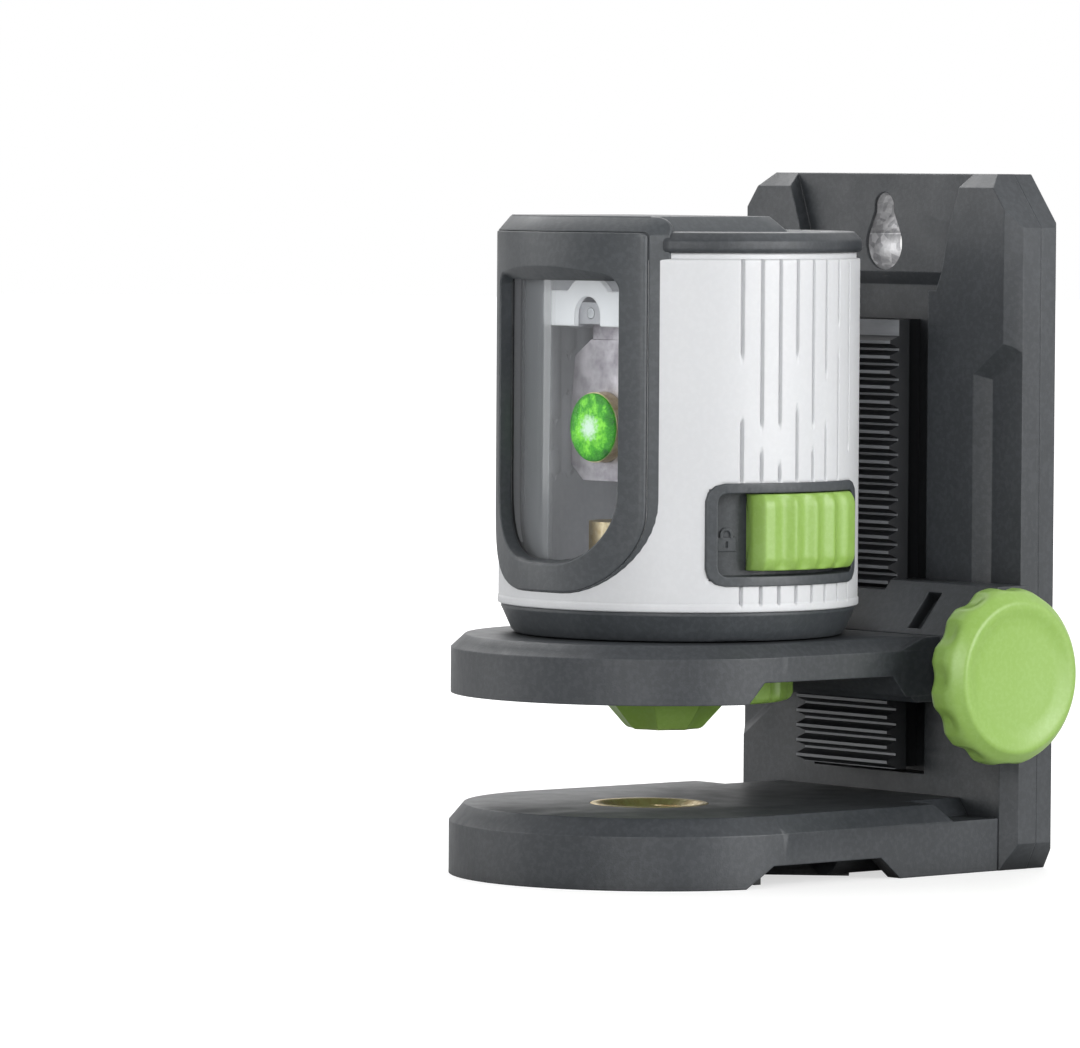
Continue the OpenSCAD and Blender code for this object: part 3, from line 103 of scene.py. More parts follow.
class Weave:
    """Node tree of one material, with short calls for the nodes its finish needs."""

    def __init__(self, name: str) -> None:
        """Starts an empty tree with its output and the Object coordinates.

        Args:
            name: The material's name.
        """
        self.mat = bpy.data.materials.new(name)
        self.mat.use_nodes = True
        self.tree = self.mat.node_tree
        self.tree.nodes.clear()
        self.out = self.add("ShaderNodeOutputMaterial")
        self.place = self.add("ShaderNodeTexCoord").outputs["Object"]

    def add(self, kind: str, **options: object) -> bpy.types.Node:
        """Adds a node.

        Args:
            kind: The node's type.
            **options: Its properties, such as operation="ADD".

        Returns:
            The node.
        """
        node = self.tree.nodes.new(kind)
        for key, value in options.items():
            setattr(node, key, value)
        return node

    def join(self, source: object, target: Socket) -> None:
        """Links a socket into another, or sets a plain value on it.

        Args:
            source: The socket or the value.
            target: The input that takes it.
        """
        if isinstance(source, Socket):
            self.tree.links.new(source, target)
        else:
            target.default_value = source

    def noise(
            self, scale: float, detail: float = 3.0, rough: float = 0.55,
            stretch: Colour = (1, 1, 1)) -> Socket:
        """Noise over the piece.

        Args:
            scale: Waves per metre.
            detail: Octaves.
            rough: Share each octave keeps.
            stretch: Factor on each axis.

        Returns:
            The grey value, 0 to 1.
        """
        where = self.place
        if stretch != (1, 1, 1):
            turn = self.add("ShaderNodeMapping")
            turn.inputs["Scale"].default_value = stretch
            self.join(where, turn.inputs["Vector"])
            where = turn.outputs["Vector"]
        node = self.add("ShaderNodeTexNoise")
        self.join(where, node.inputs["Vector"])
        node.inputs["Scale"].default_value = scale
        node.inputs["Detail"].default_value = detail
        node.inputs["Roughness"].default_value = rough
        return node.outputs["Fac"]

    def spread(
            self, value: Socket, low: float, high: float,
            to_low: float = 0.0, to_high: float = 1.0) -> Socket:
        """Carries a value from one range to another, held at its ends.

        Args:
            value: The value.
            low: Start of its range.
            high: End of its range.
            to_low: What low becomes.
            to_high: What high becomes.

        Returns:
            The new value.
        """
        node = self.add("ShaderNodeMapRange")
        self.join(value, node.inputs["Value"])
        for key, number in zip(("From Min", "From Max", "To Min", "To Max"), (low, high, to_low, to_high)):
            node.inputs[key].default_value = number
        return node.outputs["Result"]

    def maths(self, operation: str, a: object, b: object = 0.0) -> Socket:
        """Does one sum.

        Args:
            operation: Its name, such as ADD.
            a: First value or socket.
            b: Second value or socket.

        Returns:
            The result.
        """
        node = self.add("ShaderNodeMath", operation=operation)
        self.join(a, node.inputs[0])
        self.join(b, node.inputs[1])
        return node.outputs[0]

    def blend(self, share: Socket, low: object, high: object) -> Socket:
        """Mixes two colours.

        Args:
            share: 0 for low to 1 for high.
            low: Colour or socket.
            high: Colour or socket.

        Returns:
            The mixed colour.
        """
        node = self.add("ShaderNodeMix", data_type="RGBA")
        self.join(share, node.inputs["Factor"])
        for index, colour in ((6, low), (7, high)):
            given = colour if isinstance(colour, Socket) else (*colour, 1.0)
            self.join(given, node.inputs[index])
        return node.outputs[2]

    def soft_edge(self, radius: float) -> tuple[Socket, Socket]:
        """Normal rounded over every edge, and how far it leans from the face's own.

        Args:
            radius: Size of the rounding in metres.

        Returns:
            The normal, and a share that is 1 on an edge and 0 away from one.
        """
        node = self.add("ShaderNodeBevel", samples=6)
        node.inputs["Radius"].default_value = radius
        face = self.add("ShaderNodeNewGeometry")
        dot = self.add("ShaderNodeVectorMath", operation="DOT_PRODUCT")
        self.join(node.outputs["Normal"], dot.inputs[0])
        self.join(face.outputs["Normal"], dot.inputs[1])
        return node.outputs["Normal"], self.spread(dot.outputs["Value"], 0.995, 0.86)

    def bump(self, height: Socket, depth: float, normal: Socket | None = None) -> Socket:
        """Raises the surface.

        Args:
            height: How high, 0 to 1.
            depth: Metres that 1 stands for.
            normal: Normal of the surface under it, or None for the mesh's own.

        Returns:
            The new normal.
        """
        node = self.add("ShaderNodeBump")
        node.inputs["Strength"].default_value = 1.0
        node.inputs["Distance"].default_value = depth
        self.join(height, node.inputs["Height"])
        if normal is not None:
            self.join(normal, node.inputs["Normal"])
        return node.outputs["Normal"]

    def principled(self, **sockets: object) -> bpy.types.Node:
        """Adds a Principled shader.

        Args:
            **sockets: What its sockets are set or linked to, with an underscore for each space in a name.

        Returns:
            The shader.
        """
        node = self.add("ShaderNodeBsdfPrincipled")
        for key, value in sockets.items():
            self.join(value, node.inputs[key.replace("_", " ")])
        return node

    def done(self, shader: bpy.types.Node) -> bpy.types.Material:
        """Puts the shader on the output and gives the material."""
        self.tree.links.new(shader.outputs[0], self.out.inputs["Surface"])
        return self.mat


@dataclass(frozen=True)
class Moulded:
    """Injection-moulded plastic with an eroded grain, slight flow mottling, smoother edges painted paler as a
    highlight, painted shade in narrow recesses and an optional painted glow.
    """

    name: str
    colour: Colour
    pale: Colour
    rough: float = 0.45
    grain: float = 0.00035
    depth: float = 0.000022
    edge: float = 0.00035
    specular: float = 0.5
    glow: float = 0.0
    lit: float = 0.0
    painted_shade_reach: float = 0.0
    deep: float = 0.22

    def make(self) -> bpy.types.Material:
        """Builds the material, in which recesses narrower than the shade reach darken to deep times the
        colour: painted shade.

        Returns:
            The material.
        """
        w = Weave(self.name)
        normal, near_edge = w.soft_edge(self.edge)
        flow = w.noise(38.0, 4.0, stretch=(1.0, 1.0, 0.6))
        pits = w.noise(1.0 / self.grain, 2.0, 0.6)
        flecks = w.spread(w.noise(0.35 / self.grain, 3.0), 0.46, 0.60)
        # The paler edges are a painted highlight; the flow mottling and the flecks are the plastic's own
        # tone.
        share = w.maths("ADD", w.spread(flow, 0.35, 0.7, 0.0, 0.34), w.maths("MULTIPLY", near_edge, 0.34))
        share = w.maths("ADD", share, w.maths("MULTIPLY", flecks, 0.20))
        tint = w.blend(share, self.colour, self.pale)
        # Painted shade: the colour darkens where ambient occlusion finds a narrow recess.
        if self.painted_shade_reach > 0.0:
            open_sky = w.add("ShaderNodeAmbientOcclusion", samples=6)
            open_sky.inputs["Distance"].default_value = self.painted_shade_reach
            shade = tuple(self.deep * part for part in self.colour)
            tint = w.blend(w.spread(open_sky.outputs["AO"], 0.25, 0.62), shade, tint)
        gloss = w.spread(w.noise(160.0, 3.0), 0.3, 0.7, self.rough - 0.05, self.rough + 0.06)
        # Painted light: the colour glows by the painted glow strength, though the part is no lamp.
        return w.done(w.principled(
            Base_Color=tint, Roughness=w.maths("SUBTRACT", gloss, w.maths("MULTIPLY", near_edge, 0.06)),
            Specular_IOR_Level=self.specular, Subsurface_Weight=self.glow,
            Subsurface_Radius=Vector((0.002, 0.002, 0.0015)), Emission_Color=tint, Emission_Strength=self.lit,
            Normal=w.bump(pits, self.depth, normal)))


@dataclass(frozen=True)
class Metal:
    """Metal with fine turning or rolling lines, stains and worn bright edges."""

    name: str
    colour: Colour
    stain: Colour
    rough: float = 0.3
    lines: float = 9000.0
    stretch: Colour = (1.0, 1.0, 1.0)
    depth: float = 0.000004
    patches: float = 220.0

    def make(self) -> bpy.types.Material:
        """Builds the material.

        Returns:
            The material.
        """
        w = Weave(self.name)
        normal, near_edge = w.soft_edge(0.0002)
        lines = w.noise(self.lines, 2.0, 0.5, self.stretch)
        patch = w.spread(w.noise(self.patches, 5.0, 0.6), 0.35, 0.68)
        tint = w.blend(patch, self.stain, self.colour)
        gloss = w.spread(patch, 0.0, 1.0, self.rough + 0.12, self.rough)
        return w.done(w.principled(
            Base_Color=tint, Metallic=1.0,
            Roughness=w.maths("SUBTRACT", gloss, w.maths("MULTIPLY", near_edge, 0.08)),
            Normal=w.bump(lines, self.depth, normal)))


@dataclass(frozen=True)
class Galvanised:
    """Zinc-coated sheet with spangle: flat crystals that differ in grey and in gloss."""

    name: str
    dark: Colour = (0.22, 0.22, 0.23)
    light: Colour = (0.62, 0.62, 0.63)

    def make(self) -> bpy.types.Material:
        """Builds the material.

        Returns:
            The material.
        """
        w = Weave(self.name)
        cell = w.add("ShaderNodeTexVoronoi")
        cell.inputs["Scale"].default_value = 700.0
        w.join(w.place, cell.inputs["Vector"])
        grey = w.add("ShaderNodeSeparateColor")
        w.join(cell.outputs["Color"], grey.inputs[0])
        frost = w.maths("MULTIPLY", w.noise(900.0, 4.0), 0.6)
        mixed = w.maths("ADD", w.maths("MULTIPLY", grey.outputs[0], 0.5), frost)
        tint = w.blend(w.spread(mixed, 0.2, 0.9), self.dark, self.light)
        return w.done(w.principled(
            Base_Color=tint, Metallic=0.75, Roughness=w.spread(mixed, 0.2, 0.9, 0.55, 0.3),
            Normal=w.bump(mixed, 0.00002)))


@dataclass(frozen=True)
class Pane:
    """Clear moulded window: see-through, with a film that mirrors more at grazing angles, and faint haze."""

    name: str
    tint: Colour = (0.93, 0.94, 0.945)
    film: Colour = (0.25, 0.26, 0.27)
    film_ior: float = 1.22

    def make(self) -> bpy.types.Material:
        """Builds the material.

        Returns:
            The material.
        """
        w = Weave(self.name)
        clear = w.add("ShaderNodeBsdfTransparent")
        clear.inputs["Color"].default_value = (*self.tint, 1.0)
        haze = w.spread(w.noise(90.0, 4.0), 0.35, 0.75, 0.02, 0.04)
        film = w.principled(
            Base_Color=(*self.film, 1.0), Metallic=0.0, Specular_IOR_Level=1.0,
            Roughness=w.spread(w.noise(300.0), 0.3, 0.7, 0.03, 0.07))
        mirror = w.add("ShaderNodeFresnel")
        mirror.inputs["IOR"].default_value = self.film_ior
        mix = w.add("ShaderNodeMixShader")
        w.join(w.maths("ADD", w.spread(mirror.outputs[0], 0.0, 1.0, 0.0, 0.75), haze), mix.inputs[0])
        w.join(clear.outputs[0], mix.inputs[1])
        w.join(film.outputs[0], mix.inputs[2])
        return w.done(mix)


@dataclass(frozen=True)
class Glow:
    """Lit lens: a small white-hot core in a ragged green glow that breaks up towards the rim."""

    name: str
    centre: Colour = (0.0, -0.0153, 0.083)
    core: Colour = (0.80, 1.0, 0.85)
    bright: Colour = (0.30, 0.90, 0.06)
    halo: Colour = (0.06, 0.40, 0.012)
    rim: Colour = (0.006, 0.045, 0.006)
    strength: float = 1.0
    reach: float = 0.0078

    def make(self) -> bpy.types.Material:
        """Builds the material: the distance from the centre, shaken by noise, runs through four colours.

        Returns:
            The material.
        """
        w = Weave(self.name)
        off = w.add("ShaderNodeVectorMath", operation="DISTANCE")
        w.join(w.place, off.inputs[0])
        off.inputs[1].default_value = self.centre
        ragged = w.spread(w.noise(520.0, 6.0, 0.8), 0.34, 0.66, -0.0034, 0.0034)
        fine = w.spread(w.noise(1500.0, 3.0, 0.7), 0.3, 0.7, -0.0008, 0.0008)
        far = w.maths("ADD", off.outputs["Value"], ragged)
        edge = w.maths("ADD", off.outputs["Value"], w.maths("MULTIPLY", ragged, 0.45))
        near = w.maths("ADD", off.outputs["Value"], fine)
        tint = w.blend(w.spread(far, 0.0014, 0.0050), self.bright, self.halo)
        tint = w.blend(w.spread(edge, self.reach * 0.6, self.reach * 0.95), tint, self.rim)
        tint = w.blend(w.spread(near, 0.0009, 0.0027), self.core, tint)
        return w.done(w.principled(
            Base_Color=(0.01, 0.10, 0.015, 1.0), Roughness=0.55, Emission_Color=tint,
            Emission_Strength=self.strength))


@dataclass(frozen=True)
class PaintedLandHighlight:
    """Dark moulded teeth whose lands are painted pale where they face forwards: a painted highlight, broken
    by streaks.
    """

    name: str
    deep: Colour = (0.010, 0.011, 0.013)
    land: Colour = (0.240, 0.250, 0.265)

    def make(self) -> bpy.types.Material:
        """Builds the material.

        Returns:
            The material.
        """
        w = Weave(self.name)
        face = w.add("ShaderNodeTexCoord")
        lean = w.add("ShaderNodeVectorMath", operation="DOT_PRODUCT")
        w.join(face.outputs["Normal"], lean.inputs[0])
        lean.inputs[1].default_value = (0.0, -1.0, 0.0)
        streak = w.noise(500.0, 3.0, stretch=(0.15, 1.0, 1.0))
        # Painted highlight: the forward-facing lands take the pale land colour, broken by streaks.
        highlight_streaks = w.spread(streak, 0.3, 0.7, 0.65, 1.0)
        share = w.maths("MULTIPLY", w.spread(lean.outputs["Value"], 0.80, 0.97), highlight_streaks)
        tint = w.blend(share, self.deep, self.land)
        return w.done(w.principled(
            Base_Color=tint, Roughness=w.spread(streak, 0.3, 0.7, 0.42, 0.55),
            Normal=w.bump(w.noise(2600.0, 2.0), 0.00001)))


# The anthracite plastic darkens in its narrow recesses: painted shade.
ANTHRACITE = Moulded(
    "anthracite_plastic", (0.0245, 0.028, 0.032), (0.068, 0.074, 0.082), rough=0.44, painted_shade_reach=0.009)
HOUSING = Moulded("housing_plastic", (0.039, 0.044, 0.049), (0.087, 0.095, 0.103), rough=0.42)
BLACK = Moulded("black_plastic", (0.008, 0.008, 0.010), (0.025, 0.025, 0.028), rough=0.36)
RUBBER = Moulded("black_rubber", (0.010, 0.010, 0.010), (0.025, 0.025, 0.025), rough=0.7)
GREEN = Moulded(
    "green_plastic", (0.225, 0.375, 0.068), (0.305, 0.475, 0.140), rough=0.38, depth=0.000004, specular=0.6,
    glow=0.05)
WHITE = Moulded(
    "white_plastic", (0.545, 0.553, 0.567), (0.605, 0.613, 0.627), rough=0.38, depth=0.000003, glow=0.05)
# The inner and bracket plastics glow with painted light, so the parts behind the window look lit.
INNER = Moulded("inner_plastic", (0.500, 0.500, 0.525), (0.640, 0.640, 0.655), rough=0.5, lit=0.10)
BRACKET = Moulded(
    "bracket_plastic", (0.800, 0.805, 0.820), (0.850, 0.855, 0.870), rough=0.42, depth=0.000003, lit=0.34)
RACK = PaintedLandHighlight("rack_plastic")
ZINC = Galvanised("galvanised_steel")
STEEL = Metal("steel", (0.56, 0.57, 0.59), (0.33, 0.33, 0.34))
BRASS = Metal("brass", (0.97, 0.84, 0.58), (0.74, 0.58, 0.34), rough=0.36, patches=700.0)
CAST = Metal("cast_metal", (0.72, 0.68, 0.71), (0.42, 0.39, 0.42), rough=0.42, lines=2500.0, depth=0.00002)
PANE = Pane("clear_glass")
LENS = Glow("green_lens")
BOARD = Moulded("board", (0.015, 0.10, 0.035), (0.05, 0.20, 0.08), rough=0.35)
JACKET = Moulded("battery_jacket", (0.05, 0.05, 0.055), (0.60, 0.42, 0.12), rough=0.3)

FINISHES: dict[Slot, object] = {
    Slot.ANTHRACITE: ANTHRACITE, Slot.BLACK: BLACK, Slot.RUBBER: RUBBER, Slot.GREEN: GREEN, Slot.WHITE: WHITE,
    Slot.ZINC: ZINC, Slot.STEEL: STEEL, Slot.BRASS: BRASS, Slot.CAST: CAST, Slot.GLASS: PANE, Slot.LENS: LENS,
    Slot.BOARD: BOARD, Slot.JACKET: JACKET,
}
# Nodes whose finish differs from their slot's
SPECIAL: dict[str, object] = {
    "rack_rail": RACK, "switch_surround": HOUSING, "laser_foot": HOUSING, "window_gasket": BLACK,
    "chassis": INNER, "battery_tray": INNER, "gimbal_ring": INNER,
}
# Width of the rounding along the edges of a node's copy, in millimetres
EDGES: dict[str, float] = {
    "plate_front_shell": 0.45, "plate_rear_shell": 0.45, "base_plate": 0.5, "carriage_arm": 0.45,
    "pinion_housing": 0.45, "guide_jaws": 0.2, "rack_rail": 0.12, "switch_surround": 0.25,
    "battery_cover": 0.25,
}


class Wardrobe:
    """Finished materials, each built once."""

    made: dict[str, bpy.types.Material] = {}

    @classmethod
    def give(cls, finish: object) -> bpy.types.Material:
        """Gives a finish's material, built the first time it is asked for.

        Args:
            finish: The finish.

        Returns:
            Its material.
        """
        if finish.name not in cls.made:
            cls.made[finish.name] = finish.make()
        return cls.made[finish.name]


def body_of(node: str) -> str:
    """Body that a CAD node rides on."""
    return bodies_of(frame["nodes"][node])[0]


def slot_of(node: str) -> Slot:
    """Finds the material slot that the record gives a CAD node.

    Args:
        node: The CAD node.

    Returns:
        Its slot.
    """
    for part in frame["record"]["subparts"]:
        if part["node"] == node:
            return Slot(part["material_slot"])
    raise KeyError(node)


def dress_with(piece: bpy.types.Object, material: bpy.types.Material) -> None:
    """Puts one material on a piece in place of what it had."""
    piece.data.materials.clear()
    piece.data.materials.append(material)


def dress(piece: bpy.types.Object, finish: object) -> None:
    """Puts one finish on a piece in place of what it had."""
    dress_with(piece, Wardrobe.give(finish))


def rounded_copy(node: str, edge: float = 0.3, angle: float = 32.0, steps: int = 2) -> bpy.types.Object:
    """Copy of a CAD node with its flat faces merged and its edges rounded, which then stands for the node.

    Args:
        node: The CAD node.
        edge: Width of the rounding in millimetres, 0 for none.
        angle: Edges that turn by more degrees than this are rounded.
        steps: Faces across the rounding.

    Returns:
        The piece.
    """
    mesh = frame["nodes"][node].data.copy()
    mesh.name = node + "_looks"
    mesh.materials.clear()
    work = bmesh.new()
    work.from_mesh(mesh)
    bmesh.ops.remove_doubles(work, verts=work.verts, dist=2e-6)
    bmesh.ops.dissolve_limit(work, angle_limit=math.radians(0.4), verts=work.verts, edges=work.edges)
    work.to_mesh(mesh)
    work.free()
    mesh.shade_smooth()
    mesh.set_sharp_from_angle(angle=math.radians(angle))
    piece = bpy.data.objects.new(node + "_looks", mesh)
    bpy.context.scene.collection.objects.link(piece)
    if edge > 0:
        bevel = piece.modifiers.new("rounding", "BEVEL")
        bevel.width = edge * MM
        bevel.segments = steps
        bevel.limit_method = "ANGLE"
        bevel.angle_limit = math.radians(angle)
        bevel.use_clamp_overlap = True
        bevel.harden_normals = True
    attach(piece, body_of(node))
    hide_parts(node)
    dress(piece, SPECIAL.get(node, FINISHES[slot_of(node)]))
    log.info("%s: %d faces", piece.name, len(mesh.polygons))
    return piece


@dataclass(frozen=True)
class SoftBox:
    """Square soft light that faces the object, azimuth degrees to the right of its front."""

    name: str
    azimuth: float
    height: float
    distance: float
    size: float
    power: float

    def light(self, target: Vector) -> None:
        """Makes the light.

        Args:
            target: The point that it faces.
        """
        data = bpy.data.lights.new(self.name, "AREA")
        data.energy = self.power
        data.size = self.size
        light = bpy.data.objects.new(self.name, data)
        turn = math.radians(self.azimuth)
        light.location = (self.distance * math.sin(turn), -self.distance * math.cos(turn), self.height)
        light.rotation_euler = (target - light.location).to_track_quat("-Z", "Y").to_euler()
        bpy.context.scene.collection.objects.link(light)


@dataclass
class Studio:
    """Camera, pale flat floor, soft boxes and sky."""

    azimuth: float = 50.0
    distance: float = 1.426
    aside: float = -0.021
    height: float = 0.1321
    lens: float = 256.7
    tilt: float = 2.706
    roll: float = -0.35
    paper_low: float = 0.62
    paper_high: float = 0.9
    sky_bright: float = 0.7
    sky_dim: float = 0.20
    middle: tuple[float, float, float] = (0, 0.015, 0.065)
    boxes: tuple[SoftBox, ...] = (
        SoftBox("left_box", -45.0, 0.40, 1.5, 1.2, 9.5), SoftBox("front_box", 40.0, 0.50, 1.6, 0.9, 12.0),
        SoftBox("right_box", 108.0, 0.45, 1.4, 1.0, 18.0), SoftBox("back_box", -125.0, 1.1, 0.9, 1.1, 13.0))

    def camera(self) -> None:
        """Makes the camera: it stands azimuth degrees to the right of the front and looks slightly down."""
        turn = math.radians(self.azimuth)
        right = Vector((math.cos(turn), math.sin(turn), 0))
        ahead = Vector((-math.sin(turn), math.cos(turn), 0))
        data = bpy.data.cameras.new("camera")
        data.lens = self.lens
        data.sensor_width = 36.0
        data.clip_start, data.clip_end = 0.05, 30.0
        camera = bpy.data.objects.new("camera", data)
        camera.location = right * self.aside - ahead * self.distance + Vector((0, 0, self.height))
        camera.rotation_euler = (math.radians(90.0 - self.tilt), math.radians(self.roll), turn)
        bpy.context.scene.collection.objects.link(camera)
        bpy.context.scene.camera = camera

    def floor(self) -> None:
        """Makes the floor, a wide flat disc of white paper that only the camera sees glow."""
        across = np.array([0.0, 500.0, 1000.0, 3000.0, 6000.0])[:, None]
        angle = np.linspace(0, TAU, 65)[:-1]
        points = np.stack([across * np.cos(angle), across * np.sin(angle), 0.0 * across * angle], 2)
        piece = grid_piece("stage_floor", points, wrap=True)
        w = Weave("stage_paper")
        tint = w.blend(w.spread(w.noise(3.0), 0.3, 0.7), (0.46, 0.46, 0.46), (0.48, 0.48, 0.48))
        spot = w.add("ShaderNodeVectorMath", operation="LENGTH")
        w.join(w.place, spot.inputs[0])
        glow = w.spread(spot.outputs["Value"], 0.1, 1.6, self.paper_low, self.paper_high)
        seen = w.maths("MULTIPLY", w.add("ShaderNodeLightPath").outputs["Is Camera Ray"], glow)
        dress_with(piece, w.done(w.principled(
            Base_Color=tint, Roughness=0.8, Specular_IOR_Level=0.1, Emission_Color=(1.0, 1.0, 1.0, 1.0),
            Emission_Strength=seen)))

    def lights(self) -> None:
        """Makes the soft boxes."""
        for box in self.boxes:
            box.light(Vector(self.middle))

    def sky(self) -> None:
        """Makes the white sky, which is dimmer on the camera's side and plain white to the camera itself."""
        world = bpy.data.worlds.new("studio")
        world.use_nodes = True
        tree = world.node_tree
        shade = tree.nodes["Background"]
        shade.inputs["Color"].default_value = (1.0, 1.0, 1.0, 1.0)
        way = tree.nodes.new("ShaderNodeTexCoord")
        toward = tree.nodes.new("ShaderNodeVectorMath")
        toward.operation = "DOT_PRODUCT"
        turn = math.radians(self.azimuth)
        toward.inputs[1].default_value = (math.sin(turn), -math.cos(turn), 0.0)
        fade = tree.nodes.new("ShaderNodeMapRange")
        for key, number in (
                ("From Min", -0.1), ("From Max", 0.75),
                ("To Min", self.sky_bright), ("To Max", self.sky_dim)):
            fade.inputs[key].default_value = number
        path = tree.nodes.new("ShaderNodeLightPath")
        most = tree.nodes.new("ShaderNodeMath")
        most.operation = "MAXIMUM"
        for source, target in (
                (way.outputs["Generated"], toward.inputs[0]), (toward.outputs["Value"], fade.inputs["Value"]),
                (fade.outputs["Result"], most.inputs[0]), (path.outputs["Is Camera Ray"], most.inputs[1]),
                (most.outputs[0], shade.inputs["Strength"])):
            tree.links.new(source, target)
        bpy.context.scene.world = world
        bpy.context.scene.view_settings.view_transform = "Standard"


# ---------- meshes ----------


def grid_piece(name: str, points: np.ndarray, wrap: bool = False) -> bpy.types.Object:
    """Puts a grid of points into a mesh of quads, each row joined to the next.

    Args:
        name: The piece's name.
        points: Rows by columns by 3, in millimetres.
        wrap: Joins the last column to the first.

    Returns:
        The piece, smooth shaded.
    """
    quads = quads_of(*points.shape[:2])
    return mesh_piece(name, points.reshape(-1, 3), (quads if wrap else quads[:, :-1]).reshape(-1, 4))


def quads_of(rows: int, columns: int) -> np.ndarray:
    """Gives the corners of the quads of a grid that closes on itself along its rows.

    Args:
        rows: Rows of points.
        columns: Points in a row.

    Returns:
        Indices, rows less one by columns by 4.
    """
    index = np.arange(rows * columns).reshape(rows, columns)
    after = np.roll(index, -1, axis=1)
    return np.stack([index[:-1], after[:-1], after[1:], index[1:]], 2)


def mesh_piece(name: str, points: np.ndarray, faces: np.ndarray) -> bpy.types.Object:
    """Puts points and faces into a smooth mesh.

    Args:
        name: The piece's name.
        points: Points in millimetres, n by 3.
        faces: Indices of the faces' corners, m by the same count for each.

    Returns:
        The piece.
    """
    mesh = bpy.data.meshes.new(name)
    mesh.vertices.add(len(points))
    mesh.vertices.foreach_set("co", (points * MM).ravel())
    mesh.loops.add(faces.size)
    mesh.loops.foreach_set("vertex_index", faces.ravel())
    mesh.polygons.add(len(faces))
    mesh.polygons.foreach_set("loop_start", np.arange(len(faces)) * faces.shape[1])
    mesh.update(calc_edges=True)
    mesh.validate()
    mesh.shade_smooth()
    piece = bpy.data.objects.new(name, mesh)
    bpy.context.scene.collection.objects.link(piece)
    return piece


def reshaped(piece: bpy.types.Object, change: Callable[[np.ndarray], None]) -> None:
    """Changes the points of a piece's own mesh, all at once.

    Args:
        piece: The piece.
        change: Takes the points in millimetres, n by 3, and changes them in place.
    """
    spots = np.empty(len(piece.data.vertices) * 3)
    piece.data.vertices.foreach_get("co", spots)
    spots = spots.reshape(-1, 3) / MM
    change(spots)
    piece.data.vertices.foreach_set("co", (spots * MM).ravel())
    piece.data.update()


# ---------- shapes on grids ----------


def smooth(value: np.ndarray) -> np.ndarray:
    """Eases 0 to 1: three times the square less twice the cube, held at both ends."""
    held = np.clip(value, 0.0, 1.0)
    return held * held * (3.0 - 2.0 * held)


def filleted(corners: list[tuple[float, float, float]], steps: int = 4) -> np.ndarray:
    """Rounds the corners of an open outline.

    Each corner gives way to a curve through the points that lie one radius before and after it:
    the square of (1 - t) times the first, 2t(1 - t) times the corner, t squared times the last.

    Args:
        corners: Across, along and rounding radius of each corner.
        steps: Points on each rounding, less one.

    Returns:
        The outline's points, n by 2.
    """
    points = np.array([corner[:2] for corner in corners], float)
    radii = np.array([corner[2] for corner in corners], float)
    gaps = np.diff(points, axis=0)
    lengths = np.linalg.norm(gaps, axis=1)
    ways = gaps / lengths[:, None]
    t = np.linspace(0.0, 1.0, steps + 1)[:, None]
    made = [points[:1]]
    for i in range(1, len(points) - 1):
        reach = min(radii[i], lengths[i - 1] * 0.48, lengths[i] * 0.48)
        if reach < 0.01:
            made.append(points[i:i + 1])
            continue
        before, after = points[i] - ways[i - 1] * reach, points[i] + ways[i] * reach
        made.append((1 - t) ** 2 * before + 2 * t * (1 - t) * points[i] + t ** 2 * after)
    made.append(points[-1:])
    return np.vstack(made)


def fine(outline: np.ndarray, step: float) -> np.ndarray:
    """Adds points to an outline so that none of its stretches is longer than step.

    Args:
        outline: Points, n by 2.
        step: The longest stretch.

    Returns:
        The outline with the points added.
    """
    made = [outline[:1]]
    for a, b in zip(outline[:-1], outline[1:]):
        count = max(1, int(math.ceil(float(np.linalg.norm(b - a)) / step)))
        made.append(a + (b - a) * (np.arange(1, count + 1) / count)[:, None])
    return np.vstack(made)


def turned(outline: np.ndarray, columns: int) -> tuple[np.ndarray, np.ndarray, np.ndarray]:
    """Spins an outline of radius and height round its axis.

    Args:
        outline: Radius and height, n by 2.
        columns: Points round.

    Returns:
        Radius, height and angle as n by columns arrays, to be shaped further.
    """
    angle = np.linspace(0.0, TAU, columns, endpoint=False)
    shape = (len(outline), columns)
    return (
        np.broadcast_to(outline[:, :1], shape).copy(), np.broadcast_to(outline[:, 1:], shape).copy(),
        np.broadcast_to(angle, shape).copy())


def cup_loop(
        half: float, low: float, high: float, low_r: float, high_r: float, arch: float = 0.0) -> np.ndarray:
    """Closed outline with rounded corners, as seen from the front, from the middle of its foot to the right.

    Args:
        half: Half its width.
        low: Its foot.
        high: Its top.
        low_r: Radius of the lower corners.
        high_r: Radius of the upper corners.
        arch: How far the middle of the top rises over its ends.

    Returns:
        Across and up, 184 by 2. The count is the same for every size, so outlines can be skinned together.
    """
    quarter = np.linspace(0.0, math.pi / 2, 15)
    foot = np.stack([np.linspace(0, half - low_r, 13), np.full(13, low)], 1)[:-1]
    lower = np.stack([half - low_r + low_r * np.sin(quarter), low + low_r - low_r * np.cos(quarter)], 1)
    side = np.stack([np.full(40, half), np.linspace(low + low_r, high - high_r, 40)], 1)[1:-1]
    upper = np.stack([half - high_r + high_r * np.cos(quarter), high - high_r + high_r * np.sin(quarter)], 1)
    top = np.stack([np.linspace(half - high_r, 0, 14), np.full(14, high)], 1)[1:]
    crown = np.vstack([upper, top])
    crown[:, 1] += arch * (1.0 - (crown[:, 0] / half) ** 2)
    right = np.vstack([foot, lower, side, crown])
    return np.vstack([right, (right * (-1, 1))[-2:0:-1]])


def on_barrel(loop: np.ndarray, radius: float | np.ndarray, axis_y: float) -> np.ndarray:
    """Lays a front outline on the round front of an upright barrel.

    Args:
        loop: Across and up, n by 2.
        radius: The barrel's radius.
        axis_y: Place of its axis.

    Returns:
        The outline's points, n by 3.
    """
    y = axis_y - np.sqrt(np.maximum(np.square(radius) - loop[:, 0] ** 2, 0.0))
    return np.stack([loop[:, 0], y, loop[:, 1]], 1)


